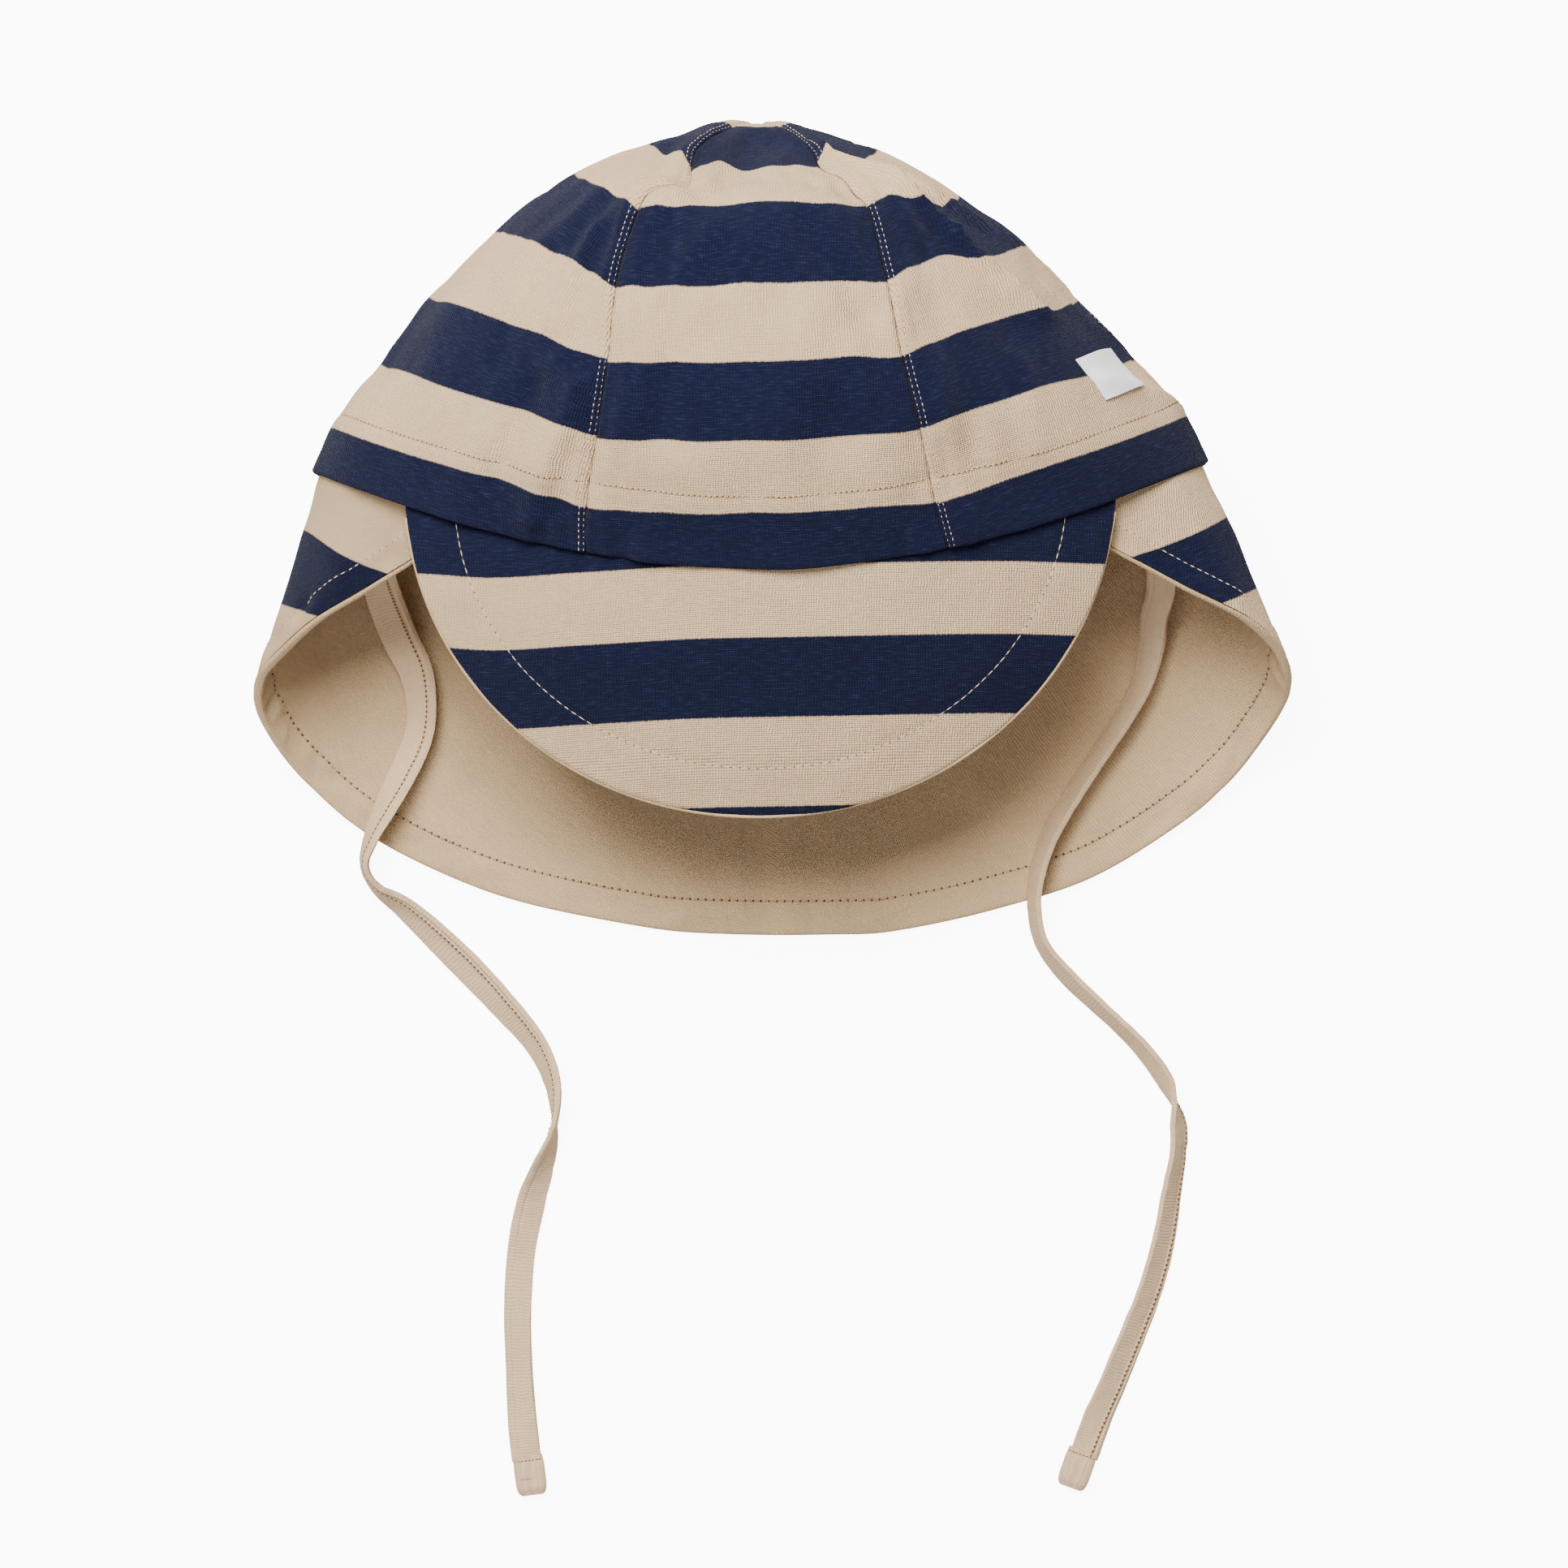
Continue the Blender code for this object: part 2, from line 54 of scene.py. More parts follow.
# The crown, one row per stripe edge from the bottom edge to the tip.
# along: share of the gore's length. half_width, shift: shares of the head width.
# The y columns: shares of the crown's reach from its back edge. top_z, base_z: shares of its rise.
# The seam columns: where the two front seams lie, as shares of the half width.
Ring = namedtuple(
    "Ring",
    "along half_width shift left_y right_y "
    "front_y back_y top_z base_z left_seam right_seam",
)
RINGS = (
    Ring(0.000, 0.500, -0.006, 0.270, 0.292, 0.051, 0.000, 0.843, 0.000, 0.380, 0.409),
    Ring(0.100, 0.473, -0.009, 0.360, 0.382, 0.166, 0.119, 0.900, 0.000, 0.390, 0.405),
    Ring(0.237, 0.419, -0.008, 0.489, 0.504, 0.309, 0.283, 0.978, 0.000, 0.413, 0.415),
    Ring(0.374, 0.361, -0.014, 0.636, 0.629, 0.468, 0.446, 1.000, 0.000, 0.430, 0.440),
    Ring(0.511, 0.294, -0.006, 0.767, 0.745, 0.624, 0.609, 0.989, 0.000, 0.515, 0.463),
    Ring(0.649, 0.213, -0.003, 0.889, 0.852, 0.793, 0.773, 0.916, 0.006, 0.577, 0.511),
    Ring(0.786, 0.125, -0.006, 0.952, 0.944, 0.884, 0.922, 0.726, 0.095, 0.620, 0.580),
    Ring(0.923, 0.049, -0.010, 0.992, 0.995, 0.974, 0.994, 0.525, 0.284, 0.550, 0.540),
    Ring(1.000, 0.000, -0.010, 1.000, 1.000, 1.000, 1.000, 0.402, 0.402, 0.500, 0.500),
)

# How far the front seams are pulled toward the middle near the top: shares of their places above.
Pull = namedtuple("Pull", "along left right")
SEAM_PULLS = (
    Pull(0.000, 1.00, 1.00),
    Pull(0.560, 1.00, 1.00),
    Pull(0.640, 0.99, 1.00),
    Pull(0.670, 0.88, 0.98),
    Pull(0.690, 0.78, 0.95),
    Pull(0.720, 0.77, 0.92),
    Pull(0.760, 0.87, 0.82),
    Pull(0.800, 0.97, 0.86),
    Pull(0.860, 1.00, 0.92),
    Pull(1.000, 1.00, 1.00),
)

# How far the stripe edges of the front gores stray from their even places, in millimetres.
# along: of the edge, as a share of the gore's length. The other columns: at the gore's places
# in SWAY_PLACES, from its first seam to its last one.
Sway = namedtuple("Sway", "along a b c d e f")
SWAY_PLACES = {
    "crown_panel_front": (0.0, 0.1, 0.25, 0.5, 0.8, 1.0),
    "crown_panel_front_left": (0.0, 0.3, 0.5, 0.75, 0.9, 1.0),
    "crown_panel_front_right": (0.0, 0.1, 0.23, 0.4, 0.6, 1.0),
}
SWAYS = {
    "crown_panel_front": (
        Sway(0.000, 0.0, 0.0, 0.0, 0.0, 0.0, 0.0),
        Sway(0.100, -2.4, -1.7, -0.8, 0.2, -0.2, -1.8),
        Sway(0.237, -3.6, -2.6, -1.1, 0.0, -0.4, -1.6),
        Sway(0.374, -3.9, -2.8, -1.1, 0.0, -0.4, -2.7),
        Sway(0.511, -5.4, -3.8, -1.9, 0.3, -0.2, -2.4),
        Sway(0.649, -5.6, -3.8, -1.6, 0.3, -0.9, -2.6),
        Sway(0.786, -5.5, -3.0, 0.6, -0.4, -0.8, -2.8),
        Sway(0.923, 0.0, 0.0, 0.0, 0.0, 0.0, 0.0),
    ),
    "crown_panel_front_left": (
        Sway(0.000, 0.0, 0.0, 0.0, 0.0, 0.0, 0.0),
        Sway(0.100, 0.0, 0.0, 0.0, 0.1, -0.9, -2.3),
        Sway(0.237, 0.1, 0.3, -0.3, -0.4, -1.4, -2.9),
        Sway(0.374, 0.0, -0.5, -0.2, -0.8, -2.8, -3.2),
        Sway(0.511, 0.0, 0.0, 0.0, -1.1, -3.2, -5.6),
        Sway(0.649, 0.0, -0.5, -1.5, -3.0, -4.5, -5.8),
        Sway(0.786, 0.0, -0.8, -1.7, -3.0, -2.0, -4.0),
        Sway(0.923, 0.0, 0.0, 0.0, 0.0, 0.0, 0.0),
    ),
    "crown_panel_front_right": (
        Sway(0.000, 0.0, 0.0, 0.0, 0.0, 0.0, 0.0),
        Sway(0.100, -2.0, -1.2, -0.3, 0.4, 0.1, 0.0),
        Sway(0.237, -1.3, 0.0, 0.6, 1.1, -0.1, 0.2),
        Sway(0.374, -2.5, -0.9, 0.3, 0.7, -1.6, 0.0),
        Sway(0.511, -2.0, 0.1, 1.5, -3.2, -2.4, 0.0),
        Sway(0.649, -2.6, -1.4, -5.8, -5.0, -3.0, 0.0),
        Sway(0.786, -1.0, 0.8, 0.2, -2.5, -2.0, 0.0),
        Sway(0.923, 0.0, 0.0, 0.0, 0.0, 0.0, 0.0),
    ),
}

# Soft folds of the crown, each a ridge from one place to another; a negative height is a dent.
# The along columns are shares of the gore's length, the angles are degrees round the crown from
# its top, and half_width and height are in millimetres.
Fold = namedtuple("Fold", "along angle end_along end_angle half_width height")
FOLDS = (
    Fold(0.14, -28.0, 0.34, -29.0, 6.0, 1.6),
    Fold(0.86, 26.0, 0.37, 56.0, 7.0, 1.8),
    Fold(0.84, -34.0, 0.50, -52.0, 7.0, 1.4),
    Fold(0.84, -6.0, 0.70, -10.0, 7.0, -1.4),
    Fold(0.05, -26.5, 0.30, -26.0, 2.4, 2.0),
    Fold(0.10, -34.0, 0.36, -33.5, 2.2, -1.4),
    Fold(0.32, -33.0, 0.56, -39.0, 2.6, 2.0),
    Fold(0.30, -42.0, 0.50, -47.0, 2.6, -1.3),
    Fold(0.80, 33.0, 0.55, 46.0, 2.6, 2.2),
    Fold(0.55, 46.0, 0.36, 57.0, 2.6, 1.9),
    Fold(0.76, 44.0, 0.56, 61.0, 3.0, -1.9),
    Fold(0.68, 54.0, 0.50, 68.0, 2.6, 1.6),
    Fold(0.62, 38.0, 0.46, 50.0, 2.8, -1.3),
    Fold(0.66, -16.0, 0.70, -25.0, 3.0, -1.7),
    Fold(0.60, -10.0, 0.48, -17.0, 3.0, 1.2),
    Fold(0.70, 16.0, 0.67, 27.0, 3.0, -1.6),
    Fold(0.60, 8.0, 0.44, 18.0, 4.0, -1.2),
    Fold(0.22, 60.0, 0.12, 84.0, 3.0, 1.3),
    Fold(0.14, 38.0, 0.30, 44.0, 3.0, 1.1),
    Fold(0.40, 66.0, 0.28, 80.0, 3.0, 1.2),
)

# The neck flap, one row per pair of ribs from its front ends to the middle of the back.
# turn: degrees round the band edge. out and down: how far the hem is from the band edge, sideways
# and toward -Y, as shares of the flap's length. height: of the hem, as a share of the side height.
Rib = namedtuple("Rib", "turn left_out left_down right_out right_down height")
RIBS = (
    Rib(41.0, -0.010, 0.060, 0.020, 0.075, 1.56),
    Rib(50.0, -0.020, 0.180, 0.025, 0.180, 1.53),
    Rib(60.0, 0.010, 0.310, 0.090, 0.320, 1.44),
    Rib(70.0, 0.060, 0.420, 0.180, 0.440, 1.31),
    Rib(80.0, 0.120, 0.530, 0.230, 0.540, 1.06),
    Rib(90.0, 0.180, 0.610, 0.255, 0.620, 0.81),
    Rib(100.0, 0.205, 0.680, 0.270, 0.680, 0.56),
    Rib(115.0, 0.220, 0.760, 0.270, 0.765, 0.28),
    Rib(130.0, 0.230, 0.830, 0.270, 0.850, 0.10),
    Rib(140.0, 0.195, 0.905, 0.230, 0.920, 0.03),
    Rib(150.0, 0.130, 0.960, 0.135, 1.000, 0.00),
    Rib(160.0, 0.055, 0.995, 0.020, 1.030, 0.00),
    Rib(170.0, -0.100, 1.015, -0.045, 1.030, 0.00),
    Rib(180.0, -0.053, 0.990, 0.053, 0.990, 0.00),
)

# The ties' routes: centre points (x, y) in metres, the height of what the tie lies on there, how far
# it is turned up on its edge, in degrees, and how wide the soft cloth lies, as a share of its width.
RoutePoint = namedtuple("RoutePoint", "x y under tilt wide")
LEFT_ROUTE = (
    RoutePoint(-0.0955, -0.0080, 0.0470, 45, 1.0),
    RoutePoint(-0.0962, -0.0180, 0.0380, 30, 1.0),
    RoutePoint(-0.0959, -0.0287, 0.0250, 10, 1.0),
    RoutePoint(-0.0926, -0.0403, 0.0120, 0, 1.0),
    RoutePoint(-0.0886, -0.0488, 0.0085, 12, 0.95),
    RoutePoint(-0.0871, -0.0570, 0.0066, 25, 0.9),
    RoutePoint(-0.0878, -0.0649, 0.0058, 28, 0.9),
    RoutePoint(-0.0912, -0.0733, 0.0054, 32, 0.9),
    RoutePoint(-0.0958, -0.0827, 0.0050, 45, 0.9),
    RoutePoint(-0.0995, -0.0905, 0.0040, 62, 0.9),
    RoutePoint(-0.1013, -0.0975, 0.0020, 76, 0.9),
    RoutePoint(-0.0983, -0.1035, 0.0006, 72, 0.9),
    RoutePoint(-0.0906, -0.1092, 0.0002, 48, 0.95),
    RoutePoint(-0.0780, -0.1214, 0.0002, 30, 0.95),
    RoutePoint(-0.0671, -0.1327, 0.0002, 35, 0.95),
    RoutePoint(-0.0583, -0.1430, 0.0002, 45, 0.9),
    RoutePoint(-0.0542, -0.1520, 0.0002, 60, 0.9),
    RoutePoint(-0.0533, -0.1600, 0.0002, 78, 0.9),
    RoutePoint(-0.0541, -0.1670, 0.0002, 100, 0.9),
    RoutePoint(-0.0566, -0.1745, 0.0002, 130, 0.85),
    RoutePoint(-0.0593, -0.1835, 0.0002, 160, 0.78),
    RoutePoint(-0.0616, -0.1958, 0.0002, 178, 0.75),
    RoutePoint(-0.0626, -0.2108, 0.0002, 195, 0.76),
    RoutePoint(-0.0623, -0.2240, 0.0002, 204, 0.8),
    RoutePoint(-0.0615, -0.2374, 0.0003, 198, 0.84),
    RoutePoint(-0.0602, -0.2483, 0.0009, 180, 0.8),
)
RIGHT_ROUTE = (
    RoutePoint(0.0940, -0.0080, 0.0470, -135, 1.0),
    RoutePoint(0.0970, -0.0180, 0.0380, -150, 0.9),
    RoutePoint(0.0984, -0.0285, 0.0250, -160, 0.8),
    RoutePoint(0.0972, -0.0354, 0.0160, -152, 0.8),
    RoutePoint(0.0965, -0.0433, 0.0090, -134, 0.95),
    RoutePoint(0.0941, -0.0524, 0.0062, -120, 1.0),
    RoutePoint(0.0896, -0.0608, 0.0050, -116, 1.0),
    RoutePoint(0.0831, -0.0706, 0.0040, -115, 1.0),
    RoutePoint(0.0765, -0.0809, 0.0034, -114, 1.0),
    RoutePoint(0.0710, -0.0909, 0.0030, -112, 1.0),
    RoutePoint(0.0680, -0.1006, 0.0026, -108, 1.0),
    RoutePoint(0.0675, -0.1088, 0.0018, -106, 0.95),
    RoutePoint(0.0696, -0.1177, 0.0006, -107, 0.95),
    RoutePoint(0.0763, -0.1263, 0.0002, -114, 0.95),
    RoutePoint(0.0879, -0.1372, 0.0002, -111, 0.95),
    RoutePoint(0.0952, -0.1446, 0.0002, -114, 0.95),
    RoutePoint(0.1010, -0.1530, 0.0002, -113, 0.9),
    RoutePoint(0.1037, -0.1625, 0.0002, -66, 0.9),
    RoutePoint(0.1037, -0.1705, 0.0002, -64, 0.9),
    RoutePoint(0.1022, -0.1794, 0.0002, -56, 0.9),
    RoutePoint(0.1002, -0.1923, 0.0002, -45, 0.85),
    RoutePoint(0.0971, -0.2038, 0.0002, -38, 0.82),
    RoutePoint(0.0928, -0.2151, 0.0002, -32, 0.8),
    RoutePoint(0.0874, -0.2281, 0.0002, -26, 0.8),
    RoutePoint(0.0831, -0.2379, 0.0003, -16, 0.8),
    RoutePoint(0.0798, -0.2469, 0.0009, 0, 0.78),
)

# Which edges of each gore carry the twin rows of topstitching: its first seam, its last seam
Gore = namedtuple("Gore", "name stitched_first stitched_last")
GORES = (
    Gore("crown_panel_front", False, False),
    Gore("crown_panel_front_right", True, False),
    Gore("crown_panel_back_right", True, True),
    Gore("crown_panel_back", False, False),
    Gore("crown_panel_back_left", True, True),
    Gore("crown_panel_front_left", False, True),
)


# Sizes and colours


def length(name, description, default):
    """A length property in metres."""
    return bpy.props.FloatProperty(
        name=name, description=description, default=default, min=0.0, unit="LENGTH", precision=4
    )


def colour(name, description, default):
    """A colour property."""
    return bpy.props.FloatVectorProperty(
        name=name, description=description, default=default, subtype="COLOR", size=3, min=0.0, max=1.0
    )


class SunHatCrownSizes(bpy.types.PropertyGroup):
    """The crown's sizes as it lies."""

    head_width: length("Head width", "Width of the crown's bottom edge", 0.2208)
    reach: length("Reach", "From the back edge to the tip", 0.1175)
    rise: length("Rise", "Height of the lying crown", 0.0895)
    side_height: length("Side height", "Height of the widest line", 0.036)
    gore_length: length("Gore length", "Length of a gore over the cloth", 0.140)
    back_edge: bpy.props.FloatProperty(
        name="Back edge", description="Y of the back edge", default=-0.0323, unit="LENGTH", precision=4
    )
    wall: length("Wall", "Thickness of the crown's cloth", 0.0012)


class SunHatPeakSizes(bpy.types.PropertyGroup):
    """The peak's sizes."""

    reach: length("Reach", "From its corners to its tip, level", 0.0764)
    corner_height: length("Corner height", "Height of its corners", 0.0625)
    tip_height: length("Tip height", "Height of its tip", 0.050)
    wall: length("Wall", "Thickness of the peak", 0.0024)
    corner_angle: bpy.props.FloatProperty(
        name="Corner angle", description="Where it ends on the band, in degrees from the top", default=49.1
    )


class SunHatFlapSizes(bpy.types.PropertyGroup):
    """The neck flap's sizes."""

    length: length("Length", "From the band to the hem at the back", 0.084)
    wall: length("Wall", "Thickness of each of its two cloths", 0.0010)
    hem_inset: length("Hem stitching", "From the hem to its row of stitches", 0.0087)
    end_angle: bpy.props.FloatProperty(
        name="End angle", description="Where it ends on the band, in degrees from the top", default=41.0
    )


class SunHatTieSizes(bpy.types.PropertyGroup):
    """The ties' sizes."""

    width: length("Width", "Width of a tie", 0.0080)
    wall: length("Wall", "Thickness of a tie", 0.0014)
    tab_length: length("Tab length", "Length of the folded end", 0.0088)
    tab_width: length("Tab width", "Width of the folded end", 0.0080)
    tab_height: length("Tab height", "Height of the folded end", 0.0030)


class SunHatColours(bpy.types.PropertyGroup):
    """Colours of the cloths and the thread."""

    navy: colour("Navy", "Dark stripes", (0.0065, 0.0078, 0.0255))
    slub: colour("Navy slub", "Lighter yarn in the dark stripes", (0.021, 0.028, 0.070))
    beige: colour("Beige", "Light stripes", (0.600, 0.420, 0.250))
    lining: colour("Lining", "Lining of the flap and the peak", (0.550, 0.380, 0.212))
    tie: colour("Ties", "Ties and their ends", (0.580, 0.408, 0.246))
    thread: colour("Thread", "Topstitching", (0.720, 0.610, 0.470))
    # The topstitching's thread painted darker, as thread lying in shade.
    sunk_thread: colour("Sunk thread", "Topstitching drawn into the cloth", (0.560, 0.385, 0.225))
    # Dots of painted shade for the needle holes beside the stitches.
    hole: colour("Needle holes", "Shade beside the stitches", (0.130, 0.072, 0.040))
    tape: colour("Tape", "Side label", (0.780, 0.780, 0.800))
    mark: colour("Mark", "Small pink mark on the left tie's end", (0.800, 0.240, 0.380))
    floor: colour("Floor", "The surface under the hat", (0.900, 0.900, 0.900))


# Tables and curves


def mix(start, end, share):
    """The value a share of the way from start to end."""
    return start + (end - start) * share


def clamp(value, low, high):
    """The value, kept between two limits."""
    return min(max(value, low), high)


def smooth(value):
    """An even step from 0 to 1."""
    value = clamp(value, 0.0, 1.0)
    return value * value * (3 - 2 * value)


def cubic(before, start, end, after, share):
    """A cubic from start to end whose end slopes come from the values on either side."""
    leave = (end - before) / 2
    arrive = (after - start) / 2
    bend = 3 * (end - start) - 2 * leave - arrive
    settle = 2 * (start - end) + leave + arrive
    return start + share * (leave + share * (bend + share * settle))


def table_row(rows, position):
    """Reads a table smoothly between its rows; the first column says where each row stands."""
    last = len(rows) - 1
    index = clamp(sum(row[0] <= position for row in rows) - 1, 0, last - 1)
    start = rows[index]
    end = rows[index + 1]
    before = rows[max(index - 1, 0)]
    after = rows[min(index + 2, last)]
    share = (position - start[0]) / (end[0] - start[0])
    return type(start)(*(cubic(*values, share) for values in zip(before, start, end, after)))


# The hat's form: how square the crown's sections are above and below its widest line, how flat they lie
# on the floor, and how far their ends bow. The last three are steps of the measuring.

TOP_SQUARENESS = 2.3
BASE_SQUARENESS = 3.2
FLOOR_PRESS = 1.04
EDGE_BOW = 1.9
ARC_SAMPLES = 400
ALONG_STEP = 0.002
ANGLE_STEP = 0.6


def seam_angle(share, squareness):
    """The angle from the top at which a seam lies a share of the half width away."""
    return math.degrees(math.asin(share ** (squareness / 2)))


class CrownForm:
    """Places on the crown, by a share of the gore's length and an angle from the top."""

    def __init__(self, sizes):
        self.sizes = sizes
        self.rings = {}
        self.arcs = {}

    def ring(self, along):
        """The crown's row at this height."""
        if along not in self.rings:
            self.rings[along] = table_row(RINGS, along)
        return self.rings[along]

    def point(self, along, angle):
        """The outer skin without folds."""
        sizes = self.sizes
        ring = self.ring(along)
        turned = (angle + 180) % 360 - 180
        is_top = abs(turned) <= 90
        lean = math.radians(abs(turned) if is_top else 180 - abs(turned))
        power = 2 / (TOP_SQUARENESS if is_top else BASE_SQUARENESS)
        across = math.copysign(math.sin(lean) ** power, turned)
        rise = max(math.cos(lean), 0.0) ** power
        middle_y = ring.front_y if is_top else ring.back_y
        side_y = ring.left_y if across < 0 else ring.right_y
        y = mix(middle_y, side_y, abs(across) ** EDGE_BOW)
        if is_top:
            z = mix(sizes.side_height, ring.top_z * sizes.rise, rise)
        else:
            base = ring.base_z * sizes.rise
            z = max(mix(sizes.side_height, base, FLOOR_PRESS * rise), base, 0.0)
        x = (ring.shift + across * ring.half_width) * sizes.head_width
        return Vector((x, sizes.back_edge + y * sizes.reach, z))

    def outward(self, along, angle):
        """The outward unit normal."""
        along = clamp(along, 1.5 * ALONG_STEP, 1 - 1.5 * ALONG_STEP)
        forward = self.point(along + ALONG_STEP, angle) - self.point(along - ALONG_STEP, angle)
        sideways = self.point(along, angle + ANGLE_STEP) - self.point(along, angle - ANGLE_STEP)
        return sideways.cross(forward).normalized()

    def seams(self, along):
        """The angles of the six seams, from the front left one round to the same one again."""
        ring = self.ring(along)
        pulled = table_row(SEAM_PULLS, along)[1:]
        top = [seam_angle(share * pull, TOP_SQUARENESS) for share, pull in zip(ring[-2:], pulled)]
        base = [seam_angle(share, BASE_SQUARENESS) for share in ring[-2:]]
        return (-top[0], top[1], 90.0, 180 - base[1], 180 + base[0], 270.0, 360 - top[0])

    def arc(self, along, start, end):
        """Angles from start to end, and how far over the cloth each one is from the start."""
        key = (along, start, end)
        if key not in self.arcs:
            shares = [(1 - math.cos(math.pi * step / ARC_SAMPLES)) / 2 for step in range(ARC_SAMPLES + 1)]
            angles = [mix(start, end, share) for share in shares]
            points = [self.point(along, angle) for angle in angles]
            travelled = [0.0]
            for here, there in zip(points, points[1:]):
                travelled.append(travelled[-1] + (there - here).length)
            self.arcs[key] = (angles, travelled)
        return self.arcs[key]

    def angle_after(self, along, start, end, distance):
        """The angle that lies a distance over the cloth from the start."""
        angles, travelled = self.arc(along, start, end)
        after = clamp(bisect.bisect_right(travelled, distance), 1, ARC_SAMPLES)
        share = (distance - travelled[after - 1]) / (travelled[after] - travelled[after - 1])
        return mix(angles[after - 1], angles[after], share)


FOLD_REACH = 3.0


def bell(offset, width):
    """A soft hump of height 1 round an offset of 0."""
    return math.exp(-((offset / width) ** 2))


def rounded(share):
    """How far a rounded edge of depth 1 drops, by a share of the way in from the edge."""
    return 1 - math.sqrt(1 - (1 - clamp(share, 0.0, 1.0)) ** 2)


def fold_height(form, along, angle):
    """How far the soft folds lift the crown's skin here."""
    turned = (angle + 180) % 360 - 180
    reach = form.sizes.gore_length
    here = Vector((along * reach, math.radians(turned) * reach / 2))
    height = 0.0
    for fold in FOLDS:
        start = Vector((fold.along * reach, math.radians(fold.angle) * reach / 2))
        end = Vector((fold.end_along * reach, math.radians(fold.end_angle) * reach / 2))
        line = end - start
        share = clamp((here - start).dot(line) / line.length_squared, 0.0, 1.0)
        away = (here - start - line * share).length / (fold.half_width * MM)
        if away < FOLD_REACH:
            height += fold.height * MM * bell(away, 1.0)
    return height


# Soft swells of a cloth: height in millimetres, how many there are per metre, and where the noise starts
Swell = namedtuple("Swell", "height pitch start")
CROWN_SWELLS = (Swell(1.25, 42.0, (0.0, 0.0, 0.0)), Swell(0.50, 105.0, (3.0, 1.0, 7.0)))
FLAP_SWELLS = (Swell(1.3, 38.0, (5.0, 2.0, 1.0)), Swell(0.5, 95.0, (0.0, 0.0, 0.0)))
PEAK_SWELLS = (Swell(0.55, 50.0, (2.0, 8.0, 3.0)), Swell(0.16, 160.0, (0.0, 0.0, 0.0)))


def swells(layers, place):
    """The height of the soft swells at a place, in millimetres."""
    return sum(layer.height * noise.noise(place * layer.pitch + Vector(layer.start)) for layer in layers)


# The seams of the crown, in millimetres: the groove of each one and, where it is stitched, the allowance
# that lifts the cloth beside it, the soft end of that allowance and the grooves of the twin rows
SEAM_GROOVE = 0.75
SEAM_GROOVE_WIDTH = 0.5
ALLOWANCE = 3.4
ALLOWANCE_RISE = 0.5
ALLOWANCE_PUCKER = 0.18
ALLOWANCE_END = 0.9
ALLOWANCE_SLOPE = 1.2
PUCKERS_PER_GORE = 45.0
TOPSTITCH_ROWS = (0.42, 1.55)
TOPSTITCH_GROOVE = 0.16
TOPSTITCH_GROOVE_WIDTH = 0.4

# Ripples beside a seam: height, distance from the seam and width in millimetres, how many there are
# over a gore's length, and where the noise starts
Ripple = namedtuple("Ripple", "height middle width pitch start")
STITCHED_RIPPLE = Ripple(0.22, 4.0, 3.5, 38.0, (9.1, 2.0))
PLAIN_RIPPLE = Ripple(0.20, 2.5, 3.0, 34.0, (5.3, 7.0))


def seam_relief(distance, along, stitched):
    """How the cloth rises over a seam's allowance and dips at the seam and its stitch rows."""
    gap = distance / MM
    height = -SEAM_GROOVE * bell(gap, SEAM_GROOVE_WIDTH)
    if stitched:
        pucker = noise.noise(Vector((along * PUCKERS_PER_GORE, 3.7, 0.0)))
        plateau = smooth((ALLOWANCE + ALLOWANCE_END - gap) / ALLOWANCE_SLOPE)
        height += (ALLOWANCE_RISE + ALLOWANCE_PUCKER * pucker) * plateau
        for row in TOPSTITCH_ROWS:
            height -= TOPSTITCH_GROOVE * bell(gap - row, TOPSTITCH_GROOVE_WIDTH)
    ripple = STITCHED_RIPPLE if stitched else PLAIN_RIPPLE
    swing = noise.noise(Vector((along * ripple.pitch, *ripple.start)))
    height += ripple.height * swing * bell(gap - ripple.middle, ripple.width)
    return height * MM


# The crown's other small shapes, in millimetres: the cloth gathered beside the seams, the long ridges
# inside a gore, the band's stitched groove with the soft roll below it, and the rounded bottom edge
GATHER = 1.5
GATHER_MIDDLE = 8.0
GATHER_WIDTH = 9.0
RIDGE = 1.1
RIDGE_FADE = 6.0
BAND_ROW = 18.5
BAND_GROOVE = 0.22
BAND_GROOVE_WIDTH = 0.8
BAND_ROLL = 0.18
BAND_ROLL_BELOW = 1.5
BAND_ROLL_WIDTH = 2.5
EDGE_ROUNDING = 1.8
EDGE_DEPTH = 1.2
TIP_FADE = 30.0


def crown_relief(form, along, angle, from_first, from_last, gore):
    """All the small shapes of a gore's cloth: folds, seams, the band's stitched groove and soft swells."""
    above_edge = along * form.sizes.gore_length / MM
    nearest = min(from_first, from_last) / MM
    place = form.point(along, angle)
    soft = swells(CROWN_SWELLS, place)
    gathered = noise.noise(Vector((nearest * 0.16, along * 6.0, place.x * 30.0)))
    soft += GATHER * bell(nearest - GATHER_MIDDLE, GATHER_WIDTH) * gathered
    ridges = noise.noise(Vector((from_first / MM * 0.10, along * 4.0, 2.0 + len(gore.name))))
    soft += RIDGE * ridges * smooth(along * 6.0) * smooth(nearest / RIDGE_FADE)
    soft -= BAND_GROOVE * bell(above_edge - BAND_ROW, BAND_GROOVE_WIDTH)
    soft += BAND_ROLL * bell(BAND_ROW - above_edge - BAND_ROLL_BELOW, BAND_ROLL_WIDTH)
    soft -= EDGE_DEPTH * rounded(above_edge / EDGE_ROUNDING)
    height = fold_height(form, along, angle) + soft * MM
    height += seam_relief(from_first, along, gore.stitched_first)
    height += seam_relief(from_last, along, gore.stitched_last)
    return height * smooth((1.0 - along) * TIP_FADE)


